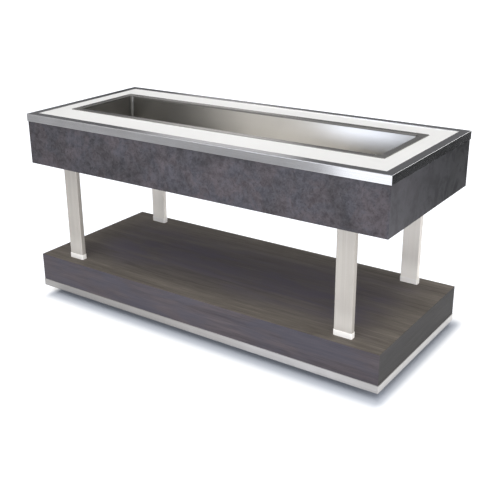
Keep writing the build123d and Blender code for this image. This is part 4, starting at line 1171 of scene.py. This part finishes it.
WHITE, COOL, BLUE, WARM = (1.0, 1.0, 1.0), (0.92, 0.95, 1.0), (0.78, 0.845, 1.0), (1.0, 0.97, 0.935)


def soft_box(name, place, width, height, power, colour, turn=0.0):
    """An upright panel of light that faces back to the station, or is turned to face it from a side."""
    panel = bpy.data.lights.new(name, "AREA")
    panel.shape = "RECTANGLE"
    panel.size = width
    panel.size_y = height
    panel.energy = power
    panel.color = colour
    made = bpy.data.objects.new(name, panel)
    made.location = place
    made.rotation_euler = (math.pi / 2, 0.0, turn)
    made.visible_camera = False
    bpy.context.collection.objects.link(made)
    return made


soft_box("low_panel", (0.16, -2.5, 0.25), width=1.14, height=0.5, power=1.9, colour=COOL)
soft_box("leg_panel", (0.16, -2.5, 0.95), width=1.14, height=0.8, power=24.0, colour=COOL)
cool_panel = soft_box("cool_panel", (-0.8, -2.6, 1.35), width=0.6, height=0.5, power=35.0, colour=BLUE)
warm_panel = soft_box("warm_panel", (-1.79, -2.7, 2.275), width=1.28, height=1.85, power=64.0, colour=WARM)
side_panel = soft_box(
    "side_panel", (3.4, -0.8, 0.6), width=1.6, height=0.8, power=56.0, colour=WHITE, turn=math.pi / 2
)
cool_panel.visible_diffuse = warm_panel.visible_diffuse = side_panel.visible_glossy = False

# Camera: a long lens at the front right and above the counter, as in the photograph.
# Its place, turn and focal length are fitted to the station's edges, and its axis is off the middle.
IMAGE_SIDE, SENSOR = 500.0, 36.0
FOCAL_PIXELS, CENTRE_PIXELS = 830.99, (220.0, 230.0)
CAMERA_PLACE = Vector((2.0671, -2.9378, 1.7403))
YAW, PITCH, ROLL = (math.radians(angle) for angle in (36.349, 20.589, -1.066))
backward = Vector((math.sin(YAW) * math.cos(PITCH), -math.cos(YAW) * math.cos(PITCH), math.sin(PITCH)))
level_right = (-backward).cross(Vector((0, 0, 1))).normalized()
level_up = level_right.cross(-backward)
right = math.cos(ROLL) * level_right + math.sin(ROLL) * level_up
up = math.cos(ROLL) * level_up - math.sin(ROLL) * level_right
lens = bpy.data.cameras.new("camera")
lens.sensor_width = SENSOR
lens.lens = FOCAL_PIXELS * SENSOR / IMAGE_SIDE
lens.shift_x = (IMAGE_SIDE / 2 - CENTRE_PIXELS[0]) / IMAGE_SIDE
lens.shift_y = (CENTRE_PIXELS[1] - IMAGE_SIDE / 2) / IMAGE_SIDE
camera = bpy.data.objects.new("camera", lens)
camera.matrix_world = Matrix.Translation(CAMERA_PLACE) @ Matrix((right, up, backward)).transposed().to_4x4()
bpy.context.collection.objects.link(camera)
bpy.context.scene.camera = camera
bpy.context.scene.view_settings.view_transform = "Standard"
